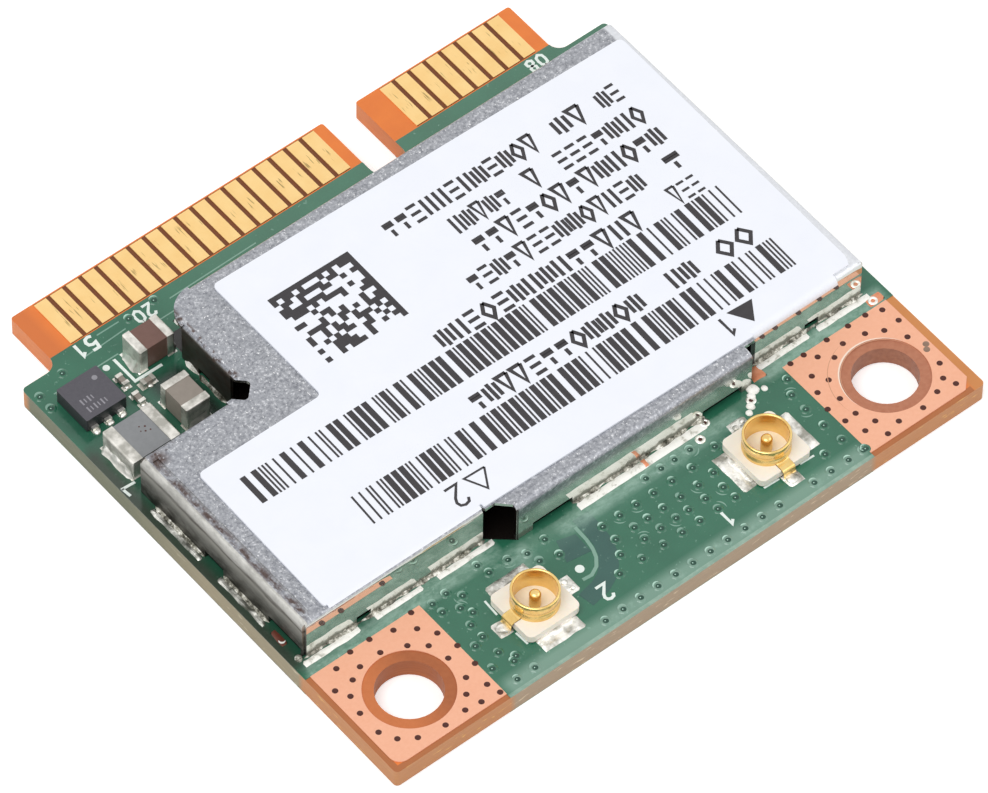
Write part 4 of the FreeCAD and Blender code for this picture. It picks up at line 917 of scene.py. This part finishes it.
TRACE_ROUTE = ((-1.71, -8.35), (-1.72, -9.10), (-1.80, -9.85), (-2.00, -10.40), (-2.32, -10.86),
               (-2.74, -11.22), (-3.25, -11.46), (-4.10, -11.60))
TRACE_WIDTH = 0.78
TRACE_FIELD = ((-3.20, -8.68), (-2.40, -8.90), (-2.44, -9.92), (-3.54, -9.75))
TRACE_BORDER = ((-2.21, -8.64), (-2.24, -9.38), (-2.32, -9.85), (-2.48, -10.27), (-2.76, -10.62),
                (-3.16, -10.82), (-3.58, -10.78))
COPPER_EDGES = (
    ((-14.1, 9.25), (-10.9, 9.25)), ((-12.0, 9.95), (-9.9, 10.05)), ((-8.9, 9.55), (-2.0, 9.60)),
    ((-1.0, 9.45), (3.5, 9.50)), ((-7.6, 10.15), (-3.2, 10.20)), ((5.4, 9.6), (11.0, 9.65)),
)


def add_traces():
    """Dark antenna trace under the mask, with the paler lacquer that borders it and other copper."""
    mesh = bmesh.new()
    stroke(mesh, TRACE_ROUTE, TRACE_WIDTH, MASK_TOP, MASK_TOP + 0.006)
    slab(mesh, TRACE_FIELD, MASK_TOP, MASK_TOP + 0.006)
    piece("antenna_trace", mesh, dark_mask)
    mesh = bmesh.new()
    stroke(mesh, TRACE_BORDER, 0.15, MASK_TOP, MASK_TOP + 0.009)
    stroke(mesh, ((-11.00, 10.50), (-9.90, 10.50)), 0.06, MASK_TOP, MASK_TOP + 0.006)
    for x, y, turn in MASK_ARCS:
        crescent(mesh, x, y, 0.36, 0.06, turn, 42, MASK_TOP + 0.003)
    for line in COPPER_EDGES:
        stroke(mesh, line, 0.06, MASK_TOP, MASK_TOP + 0.008)
    piece("mask_edges_over_copper", mesh, pale_mask)


# White print on the board

SILK_HEIGHT = 0.014
# Pen and points of each line
SILK_LINES = (
    (0.13, ((-11.21, 9.13), (-11.20, 7.75), (-9.87, 7.74))),
    (0.12, ((-14.91, 3.89), (-14.25, 3.85))),
    (0.12, ((-14.85, 3.89), (-14.80, 3.42))),
    (0.09, ((-7.20, -9.18), (-7.24, -9.99))),
    (0.09, ((-7.21, -11.11), (-7.18, -11.80))),
    (0.09, ((6.64, -11.80), (7.34, -11.83))),
    (0.09, ((4.78, -11.81), (5.53, -11.84))),
)
SILK_DOTS = ((-11.70, 8.98, 0.15), (-3.34, -10.30, 0.19))
# Digits, place, height and pen of each number
SILK_NUMBERS = (
    ("51", (-11.14, 10.66), 0.68, 0.14),
    ("20", (-8.35, 10.50), 0.62, 0.12),
    ("08", (11.90, 10.62), 0.60, 0.12),
    ("1", (3.02, -11.62), 0.74, 0.13),
    ("2", (-2.98, -11.42), 0.74, 0.13),
)


def add_silkscreen():
    mesh = bmesh.new()
    levels = (MASK_TOP, MASK_TOP + SILK_HEIGHT)
    for pen, points in SILK_LINES:
        stroke(mesh, points, pen, *levels)
    for x, y, radius in SILK_DOTS:
        dot(mesh, x, y, radius, *levels, 16)
    for text, place, height, pen in SILK_NUMBERS:
        number(mesh, text, place, height, pen, *levels)
    piece("silkscreen", mesh, silkscreen)


# Print on the label

INK_LEVELS = (LABEL_TOP, LABEL_TOP + 0.006)
PRINT_TILT_DEG = -1.15
# Share of the cells that are dark; share of its pitch that a mark fills, and that its pen fills at most
CELL_SHARE = 0.48
MARK_SHARE = 0.72
PEN_SHARE = 0.24

# Plain shapes that are no letters, each made of lines in a box one unit square
MARK_LINES = {
    "diamond": [[(0.5, 0), (1, 0.5), (0.5, 1), (0, 0.5), (0.5, 0)]],
    "two bars": [[(0.15, 0), (0.15, 1)], [(0.85, 0), (0.85, 1)]],
    "three bars": [[(0.0, 0.1), (0.0, 0.9)], [(0.5, 0), (0.5, 1)], [(1.0, 0.1), (1.0, 0.9)]],
    "dashes": [[(0, 0.05), (1, 0.05)], [(0, 0.5), (1, 0.5)], [(0, 0.95), (1, 0.95)]],
    "wedge": [[(0, 0), (0.5, 1), (1, 0), (0, 0)]],
    "brick": [[(0.0, 0.2), (1.0, 0.2)], [(0.0, 0.36), (1.0, 0.36)], [(0.5, 0.6), (0.5, 1.0)]],
}
# Each line of print: how far it is from the card's middle, height of its marks, pen, and its words as
# (start, end, marks)
PRINT_LINES = (
    (6.55, 0.90, 0.17, ((11.85, 10.70, 2), (10.03, 8.40, 2), (7.57, -0.13, 12))),
    (5.10, 0.90, 0.17, ((11.88, 7.44, 7), (6.57, 5.90, 1), (5.00, 2.15, 5))),
    (3.80, 0.94, 0.21, ((11.79, 2.26, 14),)),
    (2.40, 0.90, 0.17, ((11.72, 10.70, 1), (9.68, 0.91, 14))),
    (0.95, 0.90, 0.17, ((11.49, 10.01, 3), (8.40, -1.81, 14))),
    (-2.30, 0.90, 0.17, ((11.51, 9.58, 2), (8.62, 7.21, 2), (5.90, -2.68, 12))),
)


def bar_row(mesh, corners, count, seed):
    """Plain bars, wide and narrow, between four corners: back right, front right, back left, front left."""
    back_right, front_right, back_left, front_left = [Vector(corner) for corner in corners]
    shuffle = random.Random(seed)
    widths = []
    for i in range(count):
        edge = abs(2 * i / (count - 1) - 1)
        widths.append(3 if shuffle.random() < 0.44 - 0.12 * edge else 1)
        widths.append(3 if shuffle.random() < 0.12 + 0.45 * edge ** 2 else 1)
    widths = widths[:-1]
    whole = sum(widths)
    at = 0
    for i, width in enumerate(widths):
        if i % 2 == 0:
            near = at / whole
            far = (at + width) / whole
            slab(mesh, [back_right.lerp(back_left, near), front_right.lerp(front_left, near),
                        front_right.lerp(front_left, far), back_right.lerp(back_left, far)], *INK_LEVELS)
        at += width


def square_of_cells(mesh, corner, across, along, count, seed):
    """Square field of random cells with two closed sides; the corner is where these meet."""
    shuffle = random.Random(seed)
    across = Vector(across) / count
    along = Vector(along) / count
    for i in range(count):
        for j in range(count):
            closed = i == 0 or j == 0
            if closed or shuffle.random() < CELL_SHARE:
                a = Vector(corner) + across * i + along * j
                slab(mesh, [a, a + across, a + across + along, a + along], *INK_LEVELS)


def mark(mesh, x, y, width, height, kind, pen):
    """One placeholder mark of a line of print; the lines run along X but are stuck on slightly askew."""
    tilt = Matrix.Rotation(math.radians(PRINT_TILT_DEG), 2)
    for line in MARK_LINES[kind]:
        points = [tilt @ Vector((x - width * a, y - height * b)) for a, b in line]
        stroke(mesh, points, pen, *INK_LEVELS)


def add_label_print():
    mesh = bmesh.new()
    bar_row(mesh, ((11.89, -0.33), (11.85, -2.02), (-11.93, 0.16), (-11.95, -1.34)), 78, 11)
    bar_row(mesh, ((11.87, -3.69), (11.83, -5.36), (-9.11, -3.24), (-9.20, -4.81)), 68, 5)
    square_of_cells(mesh, (-1.65, 6.28), (-4.00, 0.06), (-0.04, -3.94), 16, 3)
    shuffle = random.Random(21)
    kinds = sorted(MARK_LINES)
    for middle, height, pen, words in PRINT_LINES:
        for start, end, count in words:
            pitch = (start - end) / count
            for i in range(count):
                kind = shuffle.choice(kinds)
                narrow = min(pen, pitch * PEN_SHARE)
                mark(mesh, start - pitch * i, middle, pitch * MARK_SHARE, height, kind, narrow)
    slab(mesh, ((9.33, -5.57), (8.08, -5.49), (8.70, -6.50)), *INK_LEVELS)
    stroke(mesh, ((-4.13, -5.35), (-5.12, -5.31), (-4.66, -6.25), (-4.13, -5.35)), 0.09, *INK_LEVELS)
    number(mesh, "1", (8.05, -5.55), 0.92, 0.13, *INK_LEVELS)
    number(mesh, "2", (-5.42, -5.30), 1.02, 0.12, *INK_LEVELS)
    piece("label_print", mesh, ink)


# Solder along the feet of the can

MASK_OPENING_MARGIN = 0.13
# How far the strips reach in under the right and back walls and out from them, and how high their solder is
STRIP_IN = 0.02
STRIP_OUT = 0.28
STRIP_CREST = 0.05
# The solder that shows beside the left wall starts and ends at these distances from it
LEFT_NEAR = 0.11
LEFT_FAR = 0.33
# How far the solder at the right and back walls runs out and up
WALL_FILLET = (0.18, 0.18)
# Start X, end X, Y of the wall and of the front edge
FRONT_RUNS = (
    (-14.55, -11.80, FRONT_WALL_Y, -7.32),
    (-11.00, -8.66, FRONT_WALL_Y, -7.28),
    (-7.93, -5.10, FRONT_WALL_Y, -7.31),
    (-1.50, 5.02, STEP_WALL_Y, -8.17),
    (8.30, 11.02, FRONT_WALL_Y, -7.30),
    (11.47, 14.20, FRONT_WALL_Y, -7.30),
)
SEAM_RUNS = ((-14.35, -5.35, FRONT_WALL_Y), (-1.55, 5.20, STEP_WALL_Y), (8.30, 14.05, FRONT_WALL_Y))
# Drops of solder between the step's right end and the nearest receptacle: x, y, radius
STEP_BLOBS = ((7.90, -7.10, 0.15), (7.54, -7.84, 0.26), (7.95, -8.10, 0.15), (7.30, -8.08, 0.18),
              (6.98, -8.42, 0.18), (6.70, -8.64, 0.15))
# Start and end along the wall
LEFT_RUNS = ((2.40, -0.70), (-1.88, -4.75))
BACK_RUNS = ((-8.2, -4.8), (-3.6, 0.4), (1.6, 5.6), (6.8, 12.9))
RIGHT_RUNS = ((7.8, 4.4), (3.2, -0.6), (-1.8, -5.6))
# Bare copper beside the strips: start and end X, start and end Y, crest, seed, raggedness
COPPER_SPOTS = (
    (1.80, 2.02, -8.16, -7.74, 0.065, 8, 0.02),
    (7.84, 8.50, -7.66, -7.02, 0.03, 9, 0.10),
    (13.86, 14.60, -7.66, -7.22, 0.012, 10, 0.05),
)


def add_shield_solder():
    """Tinned strips with their solder, and the darker seam of solder and flux right at the walls."""
    left = CAN_LOW.x
    right = CAN_HIGH.x
    back = CAN_HIGH.y
    strips = bmesh.new()
    left_strips = bmesh.new()
    seam = bmesh.new()
    for seed, (x0, x1, wall, edge) in enumerate(FRONT_RUNS):
        puddle(strips, x0, x1, edge, wall - 0.10, 0.035, seed, 0.03)
    for seed, (x0, x1, wall) in enumerate(SEAM_RUNS, 20):
        fillet(seam, (x0, wall), (x1, wall), (0, -1), 0.11, 0.10, seed, lumps=1.5)
    for seed, (y0, y1) in enumerate(LEFT_RUNS, 40):
        puddle(left_strips, left - LEFT_FAR, left - LEFT_NEAR, y1, y0, 0.10, seed, 0.05)
        fillet(seam, (left, y0), (left, y1), (-1, 0), 0.13, 0.12, seed + 10)
    for seed, (y0, y1) in enumerate(RIGHT_RUNS, 60):
        puddle(strips, right - STRIP_IN, right + STRIP_OUT, y1, y0, STRIP_CREST, seed, 0.05)
        fillet(strips, (right, y0), (right, y1), (1, 0), *WALL_FILLET, seed + 10)
    for seed, (x0, x1) in enumerate(BACK_RUNS, 80):
        puddle(strips, x0, x1, back - STRIP_IN, back + STRIP_OUT, STRIP_CREST, seed, 0.05)
        fillet(strips, (x0, back), (x1, back), (0, 1), *WALL_FILLET, seed + 10)
    fillet(strips, (BAY_X, 6.4), (BAY_X, 7.3), (-1, 0), 0.12, 0.20, 97)
    fillet(seam, (BAY_X, 4.6), (BAY_X, 6.4), (-1, 0), 0.12, 0.16, 98)
    for seed, (x, y, radius) in enumerate(STEP_BLOBS, 5):
        blob(strips, x, y, MASK_TOP, radius, 0.6 * radius, seed)
    piece("shield_strip_solder", strips, strip_tin, ("shield_strips", "shield_solder"))
    piece("left_strip_solder", left_strips, grey_tin)
    blob(seam, -14.53, -6.82, MASK_TOP, 0.17, 0.16, 3)
    piece("shield_seam_solder", seam, flux_tin)


def add_spots():
    """Bare copper beside the strips, and a spot of flux with its glint."""
    mesh = bmesh.new()
    for spot in COPPER_SPOTS:
        puddle(mesh, *spot)
    piece("bare_copper_spots", mesh, bare_copper)
    mesh = bmesh.new()
    puddle(mesh, -14.66, -14.37, -5.95, -5.15, 0.02, 7, 0.08)
    piece("flux_spot", mesh, flux_brown)
    mesh = bmesh.new()
    crescent(mesh, -14.50, -5.72, 0.13, 0.09, 230, 85, MASK_TOP + 0.04)
    piece("flux_spot_light", mesh, strip_tin)


def add_mask_fills():
    """Lacquer between the strips and round the receptacles' lands, up to the edge of the mask's openings."""
    mesh = bmesh.new()
    margin = MASK_OPENING_MARGIN
    for name in ("shield_strips", "coax_1_lands", "coax_2_lands"):
        for x0, x1, y0, y1 in loose_boxes(name):
            outline = rectangle(x0 - margin, x1 + margin, y0 - margin, y1 + margin)
            slab(mesh, outline, BOARD_TOP, MASK_TOP + 0.001)
    piece("mask_fills", mesh, green_mask)


# Antenna receptacles

RING_OUTER = 1.00
RING_INNER = 0.88
RING_TOP = 2.25
GROOVE_LOW = 1.50
GROOVE_HIGH = 1.84
BASE_TOP = 1.40
PIN_RADIUS = 0.24
PIN_TOP = 2.02
TAB_HALF = 0.30
TAB_SHEET = 0.06
LEAD_HEIGHT = 0.08
FOOT_HEIGHT = 0.09
# Start and end X, start and end Y
PIN_LEAD = (0.95, 1.42, -0.16, 0.16)
TAB_LAND = (-1.96, -1.26, -0.36, 0.36)
SIGNAL_LAND = (1.24, 1.96, -0.43, 0.43)
# The long lands: half their length, their Y on either side, and the same of the feet that stand on them
SIDE_LAND = (1.01, 0.98, 1.93)
SIDE_FOOT = (0.78, 1.16, 1.40)
# Profiles as radius and Z, from the inside of the ring over its lip and down past its groove
RING_PROFILE = (
    (RING_INNER, 1.16), (RING_INNER, RING_TOP - 0.06), (RING_INNER + 0.015, RING_TOP - 0.02),
    (RING_INNER + 0.045, RING_TOP), (RING_OUTER - 0.04, RING_TOP), (RING_OUTER - 0.01, RING_TOP - 0.02),
    (RING_OUTER, RING_TOP - 0.06), (RING_OUTER, GROOVE_HIGH + 0.03), (RING_OUTER - 0.02, GROOVE_HIGH),
    (RING_OUTER - 0.065, GROOVE_HIGH - 0.05), (RING_OUTER - 0.07, GROOVE_HIGH - 0.14),
    (RING_OUTER - 0.04, GROOVE_LOW + 0.10), (RING_OUTER - 0.005, GROOVE_LOW + 0.03), (RING_OUTER, GROOVE_LOW),
    (RING_OUTER, BASE_TOP),
)
PIN_PROFILE = ((PIN_RADIUS, 1.12), (PIN_RADIUS, PIN_TOP - 0.14), (PIN_RADIUS - 0.03, PIN_TOP - 0.07),
               (PIN_RADIUS - 0.09, PIN_TOP - 0.02), (0.0, PIN_TOP))
# The tab that runs from the ring over the base's edge down to its land: X and Z of its upper face
TAB_PROFILE = ((-0.93, 1.50), (-1.00, 1.44), (-1.08, 1.42), (-1.30, 1.41), (-1.38, 1.38), (-1.43, 1.30),
               (-1.44, 1.06), (-1.50, 1.02), (-1.56, 1.00))
# Drops of solder on the signal land: x, y, radius
SIGNAL_BLOBS = ((1.45, -0.12, 0.20), (1.62, 0.20, 0.16), (1.42, 0.34, 0.13), (1.72, -0.22, 0.13))


def add_receptacle(count, x, y, degrees):
    """Ring with its groove and flat tab, pin and solder; at 0 degrees the tab points to -X."""
    name = f"coax_{count}"
    ring = bmesh.new()
    lathe(ring, 0.0, 0.0, RING_PROFILE, 72)
    rows = []
    for reach, z in TAB_PROFILE:
        corners = ((-TAB_HALF, z), (TAB_HALF, z), (TAB_HALF, z - TAB_SHEET), (-TAB_HALF, z - TAB_SHEET))
        row = [ring.verts.new((reach, *corner)) for corner in corners]
        rows.append(row[-1:] + row)
    skin(ring, rows)
    pin = bmesh.new()
    lathe(pin, 0.0, 0.0, PIN_PROFILE)
    slab(pin, rectangle(*PIN_LEAD), COPPER_TOP, COPPER_TOP + LEAD_HEIGHT)
    lumps = bmesh.new()
    add_receptacle_solder(lumps, count)
    for mesh in (ring, pin, lumps):
        mesh.transform(Matrix.Translation((x, y, 0)) @ turned(degrees, "Z"))
    piece(name + "_ring", ring, ring_gold, (name + "_shell",))
    piece(name + "_centre_pin", pin, ring_gold, (name + "_pin",))
    piece(name + "_lumps", lumps, rough_tin, (name + "_solder", name + "_lands"))


def add_receptacle_solder(mesh, seed):
    """Solder round the base: a long land on either side, the tab's land and the signal land."""
    foot_half, foot_near, foot_far = SIDE_FOOT
    land_half, land_near, land_far = SIDE_LAND
    for end in (1, -1):
        foot = rectangle(-foot_half, foot_half, end * foot_near, end * foot_far)
        slab(mesh, foot, COPPER_TOP, COPPER_TOP + FOOT_HEIGHT)
        near, far = sorted((end * land_near, end * land_far))
        puddle(mesh, -land_half, land_half, near, far, 0.05, seed + 2 * end, 0.04)
        fillet(mesh, (-0.85, end * 1.38), (0.85, end * 1.38), (0, end), 0.36, 0.10, seed + end + 5)
    puddle(mesh, *TAB_LAND, 0.05, seed + 3, 0.05)
    blob(mesh, -1.62, 0.02, MASK_TOP, 0.30, 0.15, seed + 4)
    puddle(mesh, *SIGNAL_LAND, 0.05, seed + 5, 0.06)
    for i, (x, y, radius) in enumerate(SIGNAL_BLOBS):
        blob(mesh, x, y, MASK_TOP, radius, 0.13, seed + i)


# Parts in the open bay

LEAD_PITCH = 0.65
PRINT_HEIGHT = 0.004
PRINT_PITCH = 0.34
# Dots on the coil: x, y, radius
COIL_DOTS = ((-12.90, 5.30, 0.035), (-12.70, 5.18, 0.045), (-12.82, 4.98, 0.04), (-12.62, 4.92, 0.035),
             (-12.98, 5.08, 0.03))


def add_bay_solder():
    """Solder at the feet of the chip parts in the bay."""
    mesh = bmesh.new()
    for seed, name in enumerate(("capacitor_a_caps", "capacitor_b_caps", "coil_caps")):
        low, high = node_box(name)
        if name == "capacitor_b_caps":
            ends = (((low.x, high.y), (high.x, high.y), (0, 1)), ((low.x, low.y), (high.x, low.y), (0, -1)))
        else:
            ends = (((low.x, low.y), (low.x, high.y), (-1, 0)), ((high.x, low.y), (high.x, high.y), (1, 0)))
        for k, (start, end, outward) in enumerate(ends):
            fillet(mesh, start, end, outward, 0.20, 0.42, seed * 3 + k, lumps=0.4)
    for i in range(3):
        low, high = node_box(f"small_part_{i + 1}_caps")
        for seed, y in ((i, low.y), (i + 4, high.y)):
            blob(mesh, (low.x + high.x) / 2, y, COPPER_TOP, 0.13, 0.09, seed)
    low, high = node_box("regulator_leads")
    for k in range(3):
        x = (low.x + high.x) / 2 + (k - 1) * LEAD_PITCH
        for seed, y in ((k + 8, low.y - 0.05), (k + 12, high.y + 0.05)):
            blob(mesh, x, y, COPPER_TOP, 0.16, 0.10, seed)
    piece("bay_solder", mesh, tin)


def add_bay_marks():
    """Light marks on the regulator, dark dots on the coil."""
    low, high = node_box("regulator_body")
    levels = (high.z, high.z + PRINT_HEIGHT)
    mesh = bmesh.new()
    dot(mesh, high.x - 0.42, high.y - 0.45, 0.12, *levels, 14)
    for row, count in ((high.y - 0.98, 2), (high.y - 1.42, 3)):
        for i in range(count):
            x = low.x + 0.42 + PRINT_PITCH * i
            stroke(mesh, [(x, row), (x, row - 0.30)], 0.07, *levels)
            stroke(mesh, [(x + 0.16, row - 0.04), (x + 0.16, row - 0.26)], 0.05, *levels)
    piece("regulator_marks", mesh, chip_mark)
    coil_top = node_box("coil_body")[1].z
    mesh = bmesh.new()
    for x, y, radius in COIL_DOTS:
        dot(mesh, x, y, radius, coil_top, coil_top + 0.003, 10)
    piece("coil_marks", mesh, via_dark)


add_pad("mounting_pad_top_left", -1, VIAS_LEFT)
add_pad("mounting_pad_top_right", 1, VIAS_RIGHT)
add_via_floors()
add_ring_marks()
add_mask_vias()
add_traces()
add_silkscreen()
add_label_print()
add_mask_fills()
add_shield_solder()
add_spots()
add_receptacle(1, 5.97, -10.52, 90)
add_receptacle(2, -5.87, -10.63, 0)
add_bay_solder()
add_bay_marks()


# Floor, light and camera

FLOOR_HALF = 3.0
FLOOR_GLOW = 0.32
WORLD_LIGHT = 0.58
KEY_WATTS = 2.5
FILL_WATTS = 0.75
LAMP_WIDTH = 0.5


def add_floor():
    """White ground; its corners are in metres."""
    mesh = bpy.data.meshes.new("floor")
    corners = [(x, y, 0) for x, y in rectangle(-FLOOR_HALF, FLOOR_HALF, -FLOOR_HALF, FLOOR_HALF)]
    mesh.from_pydata(corners, [], [(0, 1, 2, 3)])
    floor = add_object("floor", mesh)
    s = Surface("floor_white", "#FAFAFA", 0.9)
    s.set("Emission Color", "#FFFFFF")
    s.set("Emission Strength", s.times(s.node("LightPath").outputs["Is Camera Ray"], FLOOR_GLOW))
    mesh.materials.append(s.material)


def add_world():
    """Even studio light; the camera, gloss and clear parts see plain white."""
    world = bpy.data.worlds.new("studio")
    bpy.context.scene.world = world
    world.use_nodes = True
    tree = world.node_tree
    path = new_node(tree, "LightPath").outputs
    seen = path["Is Camera Ray"]
    for kind in ("Is Glossy Ray", "Is Transmission Ray"):
        seen = new_node(tree, "Math", seen, path[kind], operation="MAXIMUM").outputs[0]
    strength = new_node(tree, "MapRange", seen)
    strength.inputs["To Min"].default_value = WORLD_LIGHT
    background = tree.nodes["Background"]
    background.inputs["Color"].default_value = (1.0, 1.0, 1.0, 1.0)
    feed(background.inputs["Strength"], strength.outputs[0])


def add_lamp(name, place, power):
    """Square soft lamp that looks at the card; place in metres, power in watts."""
    light = bpy.data.lights.new(name, "AREA")
    light.shape = "SQUARE"
    light.size = LAMP_WIDTH
    light.energy = power
    lamp = add_object(name, light)
    lamp.location = place
    lamp.rotation_euler = (-Vector(place)).to_track_quat("-Z", "Y").to_euler()


def add_camera():
    """The camera stands back from its target along its own Z."""
    camera = add_object("camera", bpy.data.cameras.new("camera"))
    heading = turned(CAMERA_AZIMUTH_DEG, "Z") @ turned(90 - CAMERA_ELEVATION_DEG, "X")
    stand = Matrix.Translation((0.0, 0.0, CAMERA_DISTANCE * MM))
    target = Matrix.Translation(Vector(CAMERA_TARGET) * MM)
    camera.matrix_world = target @ heading @ turned(CAMERA_ROLL_DEG, "Z") @ stand
    camera.data.sensor_fit = "HORIZONTAL"
    camera.data.sensor_width = CAMERA_SENSOR
    camera.data.lens = CAMERA_LENS
    camera.data.clip_start = 0.01
    camera.data.clip_end = 20.0
    bpy.context.scene.camera = camera


add_floor()
add_world()
add_lamp("key", (-0.33, -0.10, 0.62), KEY_WATTS)
add_lamp("fill", (0.45, -0.35, 0.45), FILL_WATTS)
add_camera()
bpy.context.scene.view_settings.view_transform = "Standard"
